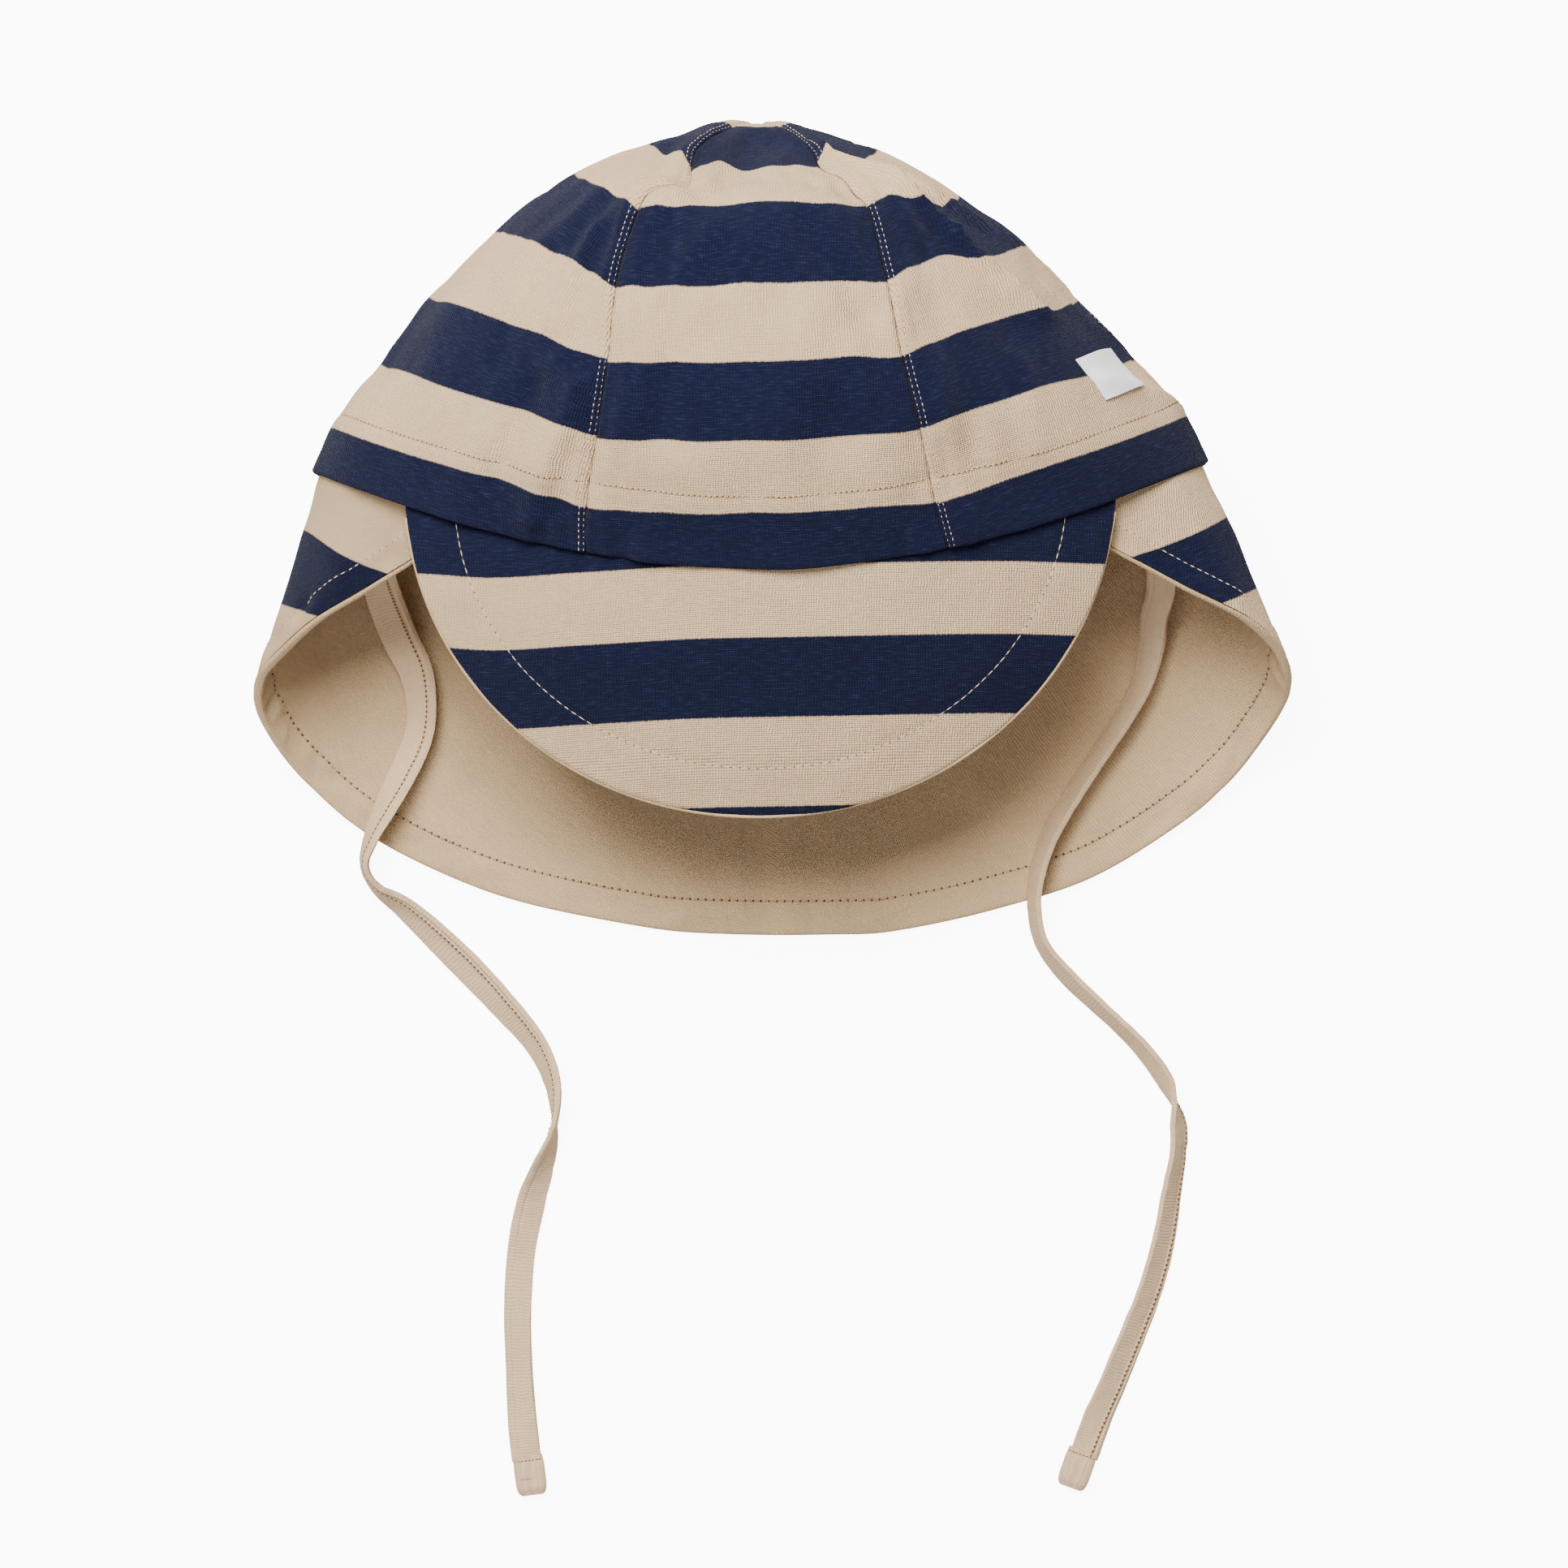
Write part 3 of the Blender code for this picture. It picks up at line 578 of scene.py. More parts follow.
def gore_place(form, gore_index, across, along):
    """A point on a gore's finished skin, its outward normal, how far across it lies, and the gore's width."""
    start, end = form.seams(along)[gore_index : gore_index + 2]
    width = form.arc(along, start, end)[1][-1]
    distance = min(across, 1.0) * width
    angle = form.angle_after(along, start, end, distance)
    normal = form.outward(along, angle)
    rise = crown_relief(form, along, angle, distance, width - distance, GORES[gore_index])
    point = form.point(along, angle) + normal * rise
    point.z = max(point.z, 0.0)
    return point, normal, distance, width


def stripe_sway(name, along, across):
    """How far the stripes stray at this place on a gore, in metres."""
    if name not in SWAYS:
        return 0.0
    places = SWAY_PLACES[name]
    here = table_row(SWAYS[name], min(along, SWAYS[name][-1].along))[1:]
    after = clamp(bisect.bisect_right(places, across), 1, len(places) - 1)
    share = smooth((across - places[after - 1]) / (places[after] - places[after - 1]))
    return mix(here[after - 1], here[after], share) * MM


# Making pieces


def new_piece(shape, name, materials):
    """An object made of a bmesh, which it frees, with its materials."""
    mesh = bpy.data.meshes.new(name)
    shape.to_mesh(mesh)
    shape.free()
    for material in materials:
        mesh.materials.append(material)
    piece = bpy.data.objects.new(name, mesh)
    bpy.context.scene.collection.objects.link(piece)
    return piece


def cloth_grid(name, columns, rows, place, materials, wall, rim=0.0003):
    """A grid laid over a form, thickened, with soft rims; materials are the outer and the inner one.

    place(across, up) gives the point and the (across, along) place on the cloth in metres."""
    shape = bmesh.new()
    bmesh.ops.create_grid(shape, x_segments=columns, y_segments=rows, size=0.5)
    pattern = shape.loops.layers.uv.new("cloth")
    on_cloth = {}
    for corner in shape.verts:
        point, flat = place(corner.co.x + 0.5, corner.co.y + 0.5)
        corner.co = point
        on_cloth[corner] = flat
    for face in shape.faces:
        face.smooth = True
        for loop in face.loops:
            loop[pattern].uv = on_cloth[loop.vert]
    piece = new_piece(shape, name, materials)
    solidify = piece.modifiers.new("cloth thickness", "SOLIDIFY")
    solidify.thickness = wall
    solidify.offset = -1
    solidify.material_offset = 1
    solidify.material_offset_rim = 0
    bevel = piece.modifiers.new("soft rim", "BEVEL")
    bevel.width = rim
    bevel.segments = 3
    bevel.limit_method = "ANGLE"
    bevel.angle_limit = math.radians(60)
    return piece


def keep(piece, slot, *nodes):
    """Ties a piece to the hat and lets it stand for its plain forms."""
    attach(piece, "root")
    if nodes:
        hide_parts(*nodes)
    return piece


# The stitches, in millimetres: from one to the next, how much of that a thread fills (a share), how wide
# it is, how wide the dot of painted shade in the needle holes after it is, how far it sinks in, and which
# material slot it has
Stitch = namedtuple("Stitch", "pitch share width hole sink slot")
# The second slot is the dots of painted shade in the needle holes.
THREAD, HOLE_SHADE, SHADED_THREAD, MARK = range(4)
# The third slot is that thread painted darker, as thread lying in shade; the band row, the flap's inner hem
# row, the ties and their ends use it.
TWIN_STITCHES = (Stitch(1.5, 0.5, 0.17, 0.22, 0.06, THREAD), Stitch(1.5, 0.62, 0.25, 0.22, 0.06, THREAD))
BAND_STITCH = Stitch(1.35, 0.58, 0.40, 0.62, -0.03, SHADED_THREAD)
HEM_STITCH = Stitch(2.0, 0.7, 0.27, 0.34, 0.06, THREAD)
HEM_INNER_STITCH = Stitch(2.0, 0.55, 0.44, 0.80, -0.03, SHADED_THREAD)
PEAK_STITCH = Stitch(2.2, 0.84, 0.27, 0.44, 0.06, THREAD)
TIE_STITCH = Stitch(1.3, 0.56, 0.42, 0.74, -0.04, SHADED_THREAD)
TAB_STITCH = Stitch(0.9, 0.66, 0.32, 0.45, 0.0, SHADED_THREAD)
PINK_MARK = Stitch(0.5, 1.3, 0.5, 0.0, 0.02, MARK)
THREAD_FLATNESS = 0.8
# The dots of painted shade in the needle holes: how thick they are and how far above the cloth they lie, in
# millimetres.
HOLE_SHADE_DEPTH = 0.1
HOLE_SHADE_LIFT = 0.05


def thread_form(segments, rings):
    """One rounded stitch or needle hole of unit size, as its points and its faces."""
    shape = bmesh.new()
    bmesh.ops.create_uvsphere(shape, u_segments=segments, v_segments=rings, radius=0.5)
    shape.verts.index_update()
    points = [corner.co.copy() for corner in shape.verts]
    faces = [[corner.index for corner in face.verts] for face in shape.faces]
    shape.free()
    return points, faces


def add_form(shape, form, middle, axes, slot):
    """Adds one small closed form to a mesh; axes are its three sides in millimetres."""
    points, faces = form
    turn = Matrix([axis * MM for axis in axes]).transposed()
    corners = [shape.verts.new(middle + turn @ point) for point in points]
    for face in faces:
        made = shape.faces.new([corners[index] for index in face])
        made.smooth = True
        made.material_index = slot


def stitch_row(shape, forms, path, stitch):
    """Lays short threads along a path of (point, normal) pairs, each followed by a dark dot of painted shade
    for its needle holes.
    """
    travelled = 0.0
    wanted = stitch.pitch / 2
    for (here, normal), (there, _) in zip(path, path[1:]):
        step = (there - here).length / MM
        while step > 0 and travelled + step >= wanted:
            spot = here.lerp(there, (wanted - travelled) / step)
            ahead = (there - here).normalized()
            side = normal.cross(ahead).normalized()
            up = ahead.cross(side)
            middle = spot + up * (stitch.width / 4 - stitch.sink) * MM
            tall = up * stitch.width * THREAD_FLATNESS
            axes = (ahead * stitch.pitch * stitch.share, side * stitch.width, tall)
            add_form(shape, forms[0], middle, axes, stitch.slot)
            # A flat dark dot after each stitch paints the shade in its needle holes.
            if stitch.hole:
                middle = spot + ahead * stitch.pitch / 2 * MM + up * HOLE_SHADE_LIFT * MM
                axes = (ahead * stitch.hole, side * stitch.hole, up * HOLE_SHADE_DEPTH)
                add_form(shape, forms[1], middle, axes, HOLE_SHADE)
            wanted += stitch.pitch
        travelled += step


def sew(name, rows, *more_materials):
    """A piece made of rows of stitches; rows holds (path, stitch)."""
    shape = bmesh.new()
    forms = (thread_form(6, 4), thread_form(5, 3))
    for path, stitch in rows:
        stitch_row(shape, forms, path, stitch)
    return keep(new_piece(shape, name, (*threads(), *more_materials)), "tie_jersey")


# Materials


def node(tree, kind, **settings):
    """A node with its settings."""
    made = tree.nodes.new(kind)
    for name, value in settings.items():
        setattr(made, name, value)
    return made


def maths(tree, operation, first, second=None, third=None):
    """A Math node fed by sockets or numbers; gives its output."""
    made = node(tree, "ShaderNodeMath", operation=operation)
    for socket, value in zip(made.inputs, (first, second, third)):
        if isinstance(value, bpy.types.NodeSocket):
            tree.links.new(value, socket)
        elif value is not None:
            socket.default_value = value
    return made.outputs[0]


def weighed(tree, start, *parts):
    """A start value plus the value times the weight of each pair."""
    for value, weight in parts:
        start = maths(tree, "MULTIPLY_ADD", value, weight, start)
    return start


def centred(tree, value, reach):
    """A noise's value, moved to swing round 0 within a reach."""
    return maths(tree, "MULTIPLY_ADD", value, reach, -reach / 2)


def wave(tree, place, pitch):
    """A sine of a place that repeats with the pitch."""
    turns = maths(tree, "DIVIDE", place, pitch)
    return maths(tree, "SINE", maths(tree, "MULTIPLY", turns, 2 * math.pi))


def joined(tree, across, along):
    """A vector of two values."""
    made = node(tree, "ShaderNodeCombineXYZ")
    tree.links.new(across, made.inputs[0])
    tree.links.new(along, made.inputs[1])
    return made.outputs[0]


def noise_value(tree, place, scale, detail=2.0, roughness=0.5):
    """The value of a 3D noise at a place."""
    made = node(tree, "ShaderNodeTexNoise", noise_dimensions="3D")
    for name, value in (("Scale", scale), ("Detail", detail), ("Roughness", roughness)):
        made.inputs[name].default_value = value
    tree.links.new(place, made.inputs["Vector"])
    return made.outputs["Fac"]


def clamped(tree, value):
    """A value kept between 0 and 1."""
    made = node(tree, "ShaderNodeClamp")
    tree.links.new(value, made.inputs[0])
    return made.outputs[0]


def blend_colours(tree, share, first, second):
    """A colour mix fed by a share's socket and by sockets or colours; gives its output."""
    made = node(tree, "ShaderNodeMix", data_type="RGBA")
    for socket, value in ((made.inputs[0], share), (made.inputs[6], first), (made.inputs[7], second)):
        if isinstance(value, bpy.types.NodeSocket):
            tree.links.new(value, socket)
        else:
            socket.default_value = (*value, 1.0)
    return made.outputs[2]


def raise_surface(tree, shader, height, distance, strength):
    """Lets a height stand out from the surface by a bump of the shader's normal."""
    bump = node(tree, "ShaderNodeBump")
    bump.inputs["Strength"].default_value = strength
    bump.inputs["Distance"].default_value = distance
    tree.links.new(height, bump.inputs["Height"])
    tree.links.new(bump.outputs[0], shader.inputs["Normal"])


def new_group(name, inputs, outputs):
    """A shader group of values: inputs are names with defaults. Where it is there already, only the group."""
    found = bpy.data.node_groups.get(name)
    if found:
        return found, None, None
    group = bpy.data.node_groups.new(name, "ShaderNodeTree")
    for label, default in inputs.items():
        socket = group.interface.new_socket(name=label, in_out="INPUT", socket_type="NodeSocketFloat")
        socket.default_value = default
    for label in outputs:
        group.interface.new_socket(name=label, in_out="OUTPUT", socket_type="NodeSocketFloat")
    return group, node(group, "NodeGroupInput").outputs, node(group, "NodeGroupOutput").inputs


# The jersey, in millimetres
RIB_PITCH = 0.66
LOOP_PITCH = 0.5
FIRST_EDGE = 14.0
FLAP_FIRST_EDGE = -5.2
STRIPE = 19.2


def knit_group():
    """Fine jersey: ribs that run along the cloth, loops along each rib and long flecks of the yarn."""
    inputs = {"Across": 0.0, "Along": 0.0, "Rib Pitch": RIB_PITCH, "Loop Pitch": LOOP_PITCH}
    group, given, result = new_group("Jersey Knit", inputs, ("Height", "Fleck", "Cloud"))
    if given is None:
        return group
    across, along = given["Across"], given["Along"]
    place = joined(group, across, along)
    wander = centred(group, noise_value(group, place, 0.35), 1.2)
    ribs = wave(group, maths(group, "ADD", across, wander), given["Rib Pitch"])
    loops = wave(group, along, given["Loop Pitch"])
    group.links.new(weighed(group, 0.0, (ribs, 0.7), (loops, 0.3)), result["Height"])
    stretched = joined(group, maths(group, "MULTIPLY", across, 0.3), maths(group, "MULTIPLY", along, 2.6))
    flecks = noise_value(group, stretched, 1.0, detail=3.0, roughness=0.65)
    group.links.new(centred(group, flecks, 2.0), result["Fleck"])
    clouds = noise_value(group, place, 0.06, detail=4.0)
    group.links.new(centred(group, clouds, 2.0), result["Cloud"])
    return group


def stripe_group():
    """Stripes across the cloth: 1 in the dark ones and 0 in the light ones, with knitted edges."""
    inputs = {"Across": 0.0, "Along": 0.0, "First Edge": FIRST_EDGE, "Stripe": STRIPE}
    group, given, result = new_group("Jersey Stripes", inputs, ("Dark",))
    if given is None:
        return group
    along = given["Along"]
    across = maths(group, "MULTIPLY", given["Across"], 1.6)
    place = joined(group, across, maths(group, "MULTIPLY", along, 0.3))
    moved = maths(group, "ADD", along, centred(group, noise_value(group, place, 1.0), 0.5))
    counted = maths(group, "DIVIDE", maths(group, "SUBTRACT", moved, given["First Edge"]), given["Stripe"])
    swing = maths(group, "SINE", maths(group, "MULTIPLY", counted, math.pi))
    group.links.new(clamped(group, weighed(group, 0.5, (swing, -14.0))), result["Dark"])
    return group


def cloth_place(tree):
    """The place on the cloth, in millimetres across and along."""
    flat = node(tree, "ShaderNodeUVMap", uv_map="cloth")
    split = node(tree, "ShaderNodeSeparateXYZ")
    tree.links.new(flat.outputs["UV"], split.inputs[0])
    return [maths(tree, "MULTIPLY", part, 1 / MM) for part in split.outputs[:2]]


def cloth_group(tree, group, place, **settings):
    """A shader group laid on the cloth, with its own settings; gives its outputs."""
    made = node(tree, "ShaderNodeGroup", node_tree=group)
    for name, value in settings.items():
        made.inputs[name.replace("_", " ")].default_value = value
    for name, value in zip(("Across", "Along"), place):
        tree.links.new(value, made.inputs[name])
    return made.outputs


def new_material(name):
    """A matte cotton material; gives it, its tree and its shader."""
    material = bpy.data.materials.new(name)
    material.use_nodes = True
    tree = material.node_tree
    shader = tree.nodes["Principled BSDF"]
    shader.inputs["Metallic"].default_value = 0.0
    shader.inputs["Roughness"].default_value = 0.95
    shader.inputs["Specular IOR Level"].default_value = 0.05
    shader.inputs["Sheen Weight"].default_value = 0.03
    shader.inputs["Sheen Roughness"].default_value = 0.5
    return material, tree, shader


def jersey_material(name, light, dark=None, first_edge=FIRST_EDGE, rib=RIB_PITCH, relief=0.36, fleck=0.18):
    """A knitted cotton: plain, or striped when it has a dark colour too."""
    found = bpy.data.materials.get(name)
    if found:
        return found
    material, tree, shader = new_material(name)
    place = cloth_place(tree)
    knit = cloth_group(tree, knit_group(), place, Rib_Pitch=rib)
    value = node(tree, "ShaderNodeHueSaturation")
    if dark is None:
        value.inputs["Color"].default_value = (*light, 1.0)
    else:
        stripes = cloth_group(tree, stripe_group(), place, First_Edge=first_edge)
        heather = clamped(tree, maths(tree, "MULTIPLY", knit["Fleck"], 1.3))
        navy = blend_colours(tree, heather, dark, tuple(hat_colours().slub))
        tree.links.new(blend_colours(tree, stripes["Dark"], light, navy), value.inputs["Color"])
    # The colour's value follows the yarn's flecks and clouds, and also the ribs' height, which paints shade
    # into the grooves between the ribs.
    shade = weighed(tree, 1.0, (knit["Fleck"], fleck), (knit["Cloud"], 0.09), (knit["Height"], 0.14))
    tree.links.new(shade, value.inputs["Value"])
    tree.links.new(value.outputs[0], shader.inputs["Base Color"])
    raise_surface(tree, shader, weighed(tree, knit["Height"], (knit["Fleck"], 0.8)), relief * MM, 0.6)
    return material


def spun_material(name, colour):
    """Spun thread, matte and a little uneven."""
    found = bpy.data.materials.get(name)
    if found:
        return found
    material, tree, shader = new_material(name)
    speck = noise_value(tree, node(tree, "ShaderNodeTexCoord").outputs["Object"], 900.0)
    tone = blend_colours(tree, speck, tuple(part * 0.75 for part in colour), tuple(colour))
    tree.links.new(tone, shader.inputs["Base Color"])
    return material


def hat_colours():
    """The colours set in the sidebar."""
    return bpy.context.scene.sun_hat_colours


def threads():
    """The topstitching's thread, the painted shade in its needle holes, and the same thread painted darker,
    as thread lying in shade.
    """
    colours = hat_colours()
    return (
        spun_material("topstitch_thread", colours.thread),
        spun_material("needle_hole", colours.hole),
        spun_material("sunk_thread", colours.sunk_thread),
    )


def striped_jersey():
    """The striped cloth of the crown and the peak."""
    colours = hat_colours()
    return jersey_material("striped_jersey_cloth", tuple(colours.beige), tuple(colours.navy))


def flap_jersey():
    """The flap's striped cloth, whose stripes are counted from the band."""
    colours = hat_colours()
    cloth = (tuple(colours.beige), tuple(colours.navy))
    return jersey_material("flap_jersey_cloth", *cloth, first_edge=FLAP_FIRST_EDGE)


def plain_lining():
    """The beige lining."""
    return jersey_material("lining_cloth", tuple(hat_colours().lining), relief=0.22, fleck=0.16)


def rim_cloth():
    """The lining where it is rolled to the peak's edge."""
    return spun_material("peak_rim_cloth", hat_colours().lining)


def tie_cloth():
    """The ties' plain cloth."""
    return jersey_material("tie_cloth", tuple(hat_colours().tie), rib=0.7, relief=0.10, fleck=0.15)


def tape_material():
    """Satin tape with a fine weave."""
    found = bpy.data.materials.get("label_tape_cloth")
    if found:
        return found
    material, tree, shader = new_material("label_tape_cloth")
    shader.inputs["Roughness"].default_value = 0.6
    shader.inputs["Base Color"].default_value = (*hat_colours().tape, 1.0)
    yarns = [maths(tree, "SINE", maths(tree, "MULTIPLY", part, 16.0)) for part in cloth_place(tree)]
    raise_surface(tree, shader, weighed(tree, 0.0, *((yarn, 0.5) for yarn in yarns)), 0.05 * MM, 0.3)
    return material


# The crown. The rows crowd towards the bottom edge and the columns towards the seams, where the cloth
# has its finest shapes. GORE_MIDDLE is where a gore's middle lies across its cloth, in metres.

GORE_COLUMNS = 52
GORE_ROWS = 92
ROW_CROWDING = 1.25
COLUMN_CROWDING = 0.13
LAST_ROW = 0.9992
GORE_MIDDLE = 0.15
TWIN_ROW_STEPS = 130
BAND_ROW_STEPS = 60


def make_gore(form, index):
    """One gore of the crown."""
    gore = GORES[index]

    def place(across, up):
        along = min(up**ROW_CROWDING, LAST_ROW)
        crowded = across - COLUMN_CROWDING * math.sin(2 * math.pi * across)
        point, _, distance, width = gore_place(form, index, crowded, along)
        sway = stripe_sway(gore.name, along, distance / width)
        return point, (GORE_MIDDLE + distance - width / 2, along * form.sizes.gore_length - sway)

    cloths = (striped_jersey(), plain_lining())
    piece = cloth_grid(gore.name, GORE_COLUMNS, GORE_ROWS, place, cloths, form.sizes.wall)
    return keep(piece, "striped_jersey", gore.name)


class SUNHAT_OT_crown(bpy.types.Operator):
    """Makes the six gores of the crown"""

    bl_idname = "sunhat.crown"
    bl_label = "Crown Gores"

    def execute(self, context):
        form = CrownForm(context.scene.sun_hat_crown)
        for index in range(len(GORES)):
            make_gore(form, index)
        return {"FINISHED"}


def seam_path(form, index, distance, from_last):
    """A path on a gore at a set distance from one of its seams, as (point, normal) pairs."""
    path = []
    for step in range(TWIN_ROW_STEPS + 1):
        along = 0.004 + 0.985 * step / TWIN_ROW_STEPS
        start, end = form.seams(along)[index : index + 2]
        width = form.arc(along, start, end)[1][-1]
        if distance * 2 > width:
            break
        share = (width - distance if from_last else distance) / width
        path.append(gore_place(form, index, share, along)[:2])
    return path


def band_path(form, index):
    """The band's stitched row across one gore."""
    along = BAND_ROW * MM / form.sizes.gore_length
    shares = [0.004 + 0.992 * step / BAND_ROW_STEPS for step in range(BAND_ROW_STEPS + 1)]
    return [gore_place(form, index, share, along)[:2] for share in shares]


class SUNHAT_OT_crown_stitching(bpy.types.Operator):
    """Sews the twin rows beside the crown's seams and the row round the band"""

    bl_idname = "sunhat.crown_stitching"
    bl_label = "Crown Stitching"

    def execute(self, context):
        form = CrownForm(context.scene.sun_hat_crown)
        rows = []
        for index, gore in enumerate(GORES):
            for from_last, stitched in ((False, gore.stitched_first), (True, gore.stitched_last)):
                if stitched:
                    for distance, stitch in zip(TOPSTITCH_ROWS, TWIN_STITCHES):
                        rows.append((seam_path(form, index, distance * MM, from_last), stitch))
            rows.append((band_path(form, index), BAND_STITCH))
        sew("crown_stitching", rows)
        return {"FINISHED"}


# The neck flap and its lining, in millimetres, with shares of a rib from the hem to the tucked edge and
# with degrees round the band. FRONT_SWAYS and HEM_PUCKERS are for the left and the right side.

TUCK_DEPTH = 4.0
TUCK_GAP = 0.6
TUCK_SHARE = 0.955
UNDER_PEAK_ANGLE = 54
UNDER_PEAK_FADE = 12
CLOTH_GAP = 0.3
FRONT_SWAYS = (4.6, 1.4)
FRONT_SWAY_END = 85
FRONT_SWAY_FADE = 35
HEM_PUCKERS = (1.7, 1.0)
PUCKER_MIDDLE = 3.0
PUCKER_WIDTH = 4.5
HEM_GROOVE = 0.24
HEM_GROOVE_WIDTH = 0.8
HEM_FULLNESS = 0.35
ROLL_RADIUS = 0.9
ROLL_LEG = 0.4
ROLL_CLEARANCE = 0.35
ROLL_RATE = 1.4
LEG_RATE = 3.5
ROLL_ROWS = 9
FLAP_COLUMNS = 230
FLAP_ROWS = 56
LINING_ROWS = 64
HEM_ROW_STEPS = 400
CUT_STEPS = 160


def band_places(form, turn, inset):
    """Where a cloth sewn inside the band leaves it, and where that cloth ends inside the crown."""
    tuck = TUCK_DEPTH * MM / form.sizes.gore_length
    foot = form.point(0.0, turn) - form.outward(0.0, turn) * inset
    return foot, form.point(tuck, turn) - form.outward(tuck, turn) * inset


class FlapForm:
    """Places on the neck flap; across runs round the band, up runs from the hem to the tucked edge."""

    def __init__(self, crown, sizes, peak):
        self.crown = crown
        self.sizes = sizes
        self.peak = peak
        self.groove = 0.0
        self.columns = {}
        self.ends = (sizes.end_angle, 360 - sizes.end_angle)

    def column(self, across):
        """The hem, the foot and the tucked end of one rib, with its angle round the band."""
        if across not in self.columns:
            sizes = self.sizes
            crown = self.crown
            whole = crown.arc(0.0, *self.ends)[1][-1]
            turn = crown.angle_after(0.0, *self.ends, across * whole)
            rib = table_row(RIBS, min(turn, 360 - turn))
            is_left = turn > 180
            out = -rib.left_out if is_left else rib.right_out
            down = rib.left_down if is_left else rib.right_down
            edge = crown.point(0.0, turn)
            height = max(rib.height, 0.0) * crown.sizes.side_height
            tip = Vector((edge.x + out * sizes.length, edge.y - down * sizes.length, height))
            under = clamp(1 + (UNDER_PEAK_ANGLE - min(turn, 360 - turn)) / UNDER_PEAK_FADE, 0.0, 1.0)
            inset = crown.sizes.wall + TUCK_GAP * MM + (self.peak.wall + TUCK_GAP * MM) * under
            foot, tucked = band_places(crown, turn, inset)
            self.columns[across] = (tip, foot, tucked, turn)
        return self.columns[across]

    def rib(self, across):
        """The length of a rib from its hem to the band."""
        tip, foot = self.column(clamp(across, 0.0, 1.0))[:2]
        return (tip - foot).length

    def plain(self, across, up):
        """The outer skin without its soft shapes."""
        tip, foot, tucked, _ = self.column(clamp(across, 0.0, 1.0))
        if up > TUCK_SHARE:
            return mix(foot, tucked, (up - TUCK_SHARE) / (1 - TUCK_SHARE))
        return mix(tip, foot, up / TUCK_SHARE)

    def outward(self, across, up):
        """The outward unit normal, which turns softly from rib to rib."""
        step = 0.006
        left, right = max(across - step, 0.0), min(across + step, 1.0)
        level = clamp(up, 0.02, TUCK_SHARE - 0.02)
        forward = self.plain(across, level + 0.02) - self.plain(across, level - 0.02)
        sideways = self.plain(right, level) - self.plain(left, level)
        return sideways.cross(forward).normalized()

    def swell(self, across, up):
        """Soft swells of both cloths, and the puckers beside the hem's stitching, kept above the floor."""
        turn = self.column(clamp(across, 0.0, 1.0))[3]
        from_hem = up / TUCK_SHARE * self.rib(across) / MM
        place = self.plain(across, min(up, TUCK_SHARE))
        fade = smooth(from_hem / 3.0) * smooth((TUCK_SHARE - up) * 8.0)
        away = from_hem - self.sizes.hem_inset / MM
        pucker = noise.noise(Vector((turn * 0.30, from_hem * 0.05, 6.0)))
        crumple = noise.noise(Vector((turn * 0.22 + from_hem * 0.10, from_hem * 0.12, 1.0)))
        height = swells(FLAP_SWELLS, place)
        beside_hem = bell(away + PUCKER_MIDDLE, PUCKER_WIDTH)
        height += HEM_PUCKERS[turn < 180] * (pucker + 0.9 * crumple) * beside_hem
        height += HEM_GROOVE * bell(away, HEM_GROOVE_WIDTH) * self.groove
        lift = height * MM * fade
        lowered = -self.outward(across, up).z * lift
        return lift * place.z / lowered if lowered > place.z else lift

    def skin(self, across, up):
        """The finished outer skin and its normal."""
        normal = self.outward(across, up)
        return self.plain(across, up) + normal * self.swell(across, up), normal

    def flat_place(self, across, up):
        """The place on the cloth, across and along, in metres."""
        turn = self.column(clamp(across, 0.0, 1.0))[3]
        round_band = self.crown.arc(0.0, *self.ends)[1][-1]
        away = (1 - up / TUCK_SHARE) * self.rib(across)
        at_front = smooth((FRONT_SWAY_END - min(turn, 360 - turn)) / FRONT_SWAY_FADE)
        sway = FRONT_SWAYS[turn < 180] * MM * at_front * (1 - smooth((away / MM - 18) / 15))
        return (across * round_band * (1 + HEM_FULLNESS * (1 - up)), away - sway)


def flap_form(context):
    """The flap's form with the sizes in the sidebar."""
    scene = context.scene
    return FlapForm(CrownForm(scene.sun_hat_crown), scene.sun_hat_flap, scene.sun_hat_peak)


def make_flap(flap):
    """The flap's striped outer cloth, which starts behind the rolled hem."""

    def place(across, up):
        start = (ROLL_RADIUS + ROLL_LEG + ROLL_CLEARANCE) * MM / flap.rib(across) * TUCK_SHARE
        level = mix(start, 1.0, up)
        return flap.skin(across, level)[0], flap.flat_place(across, level)

    cloths = (flap_jersey(), plain_lining())
    piece = cloth_grid("neck_flap", FLAP_COLUMNS, FLAP_ROWS, place, cloths, flap.sizes.wall)
    return keep(piece, "striped_jersey", "neck_flap")


def lining_place(flap, across, up):
    """The lining's visible face and its normal; up below 0 is the rolled hem."""
    depth = flap.sizes.wall * 2 + CLOTH_GAP * MM
    tip, foot = flap.column(across)[:2]
    ahead = (tip - foot).normalized()
    start = ROLL_RADIUS * MM / flap.rib(across) * TUCK_SHARE
    centre, normal = flap.skin(across, mix(start, 1.0, max(up, 0.0)))
    if up >= 0:
        return centre - normal * depth, -normal
    radius = depth / 2
    bend = math.pi * clamp(-up * ROLL_RATE, 0.0, 1.0)
    leg = clamp((-up - 1 / ROLL_RATE) * LEG_RATE, 0.0, 1.0) * ROLL_LEG * MM
    middle = centre - normal * radius
    facing = -normal * math.cos(bend) + ahead * math.sin(bend)
    wide = ROLL_RADIUS * MM * math.sin(bend)
    return middle - normal * radius * math.cos(bend) + ahead * (wide - leg), facing


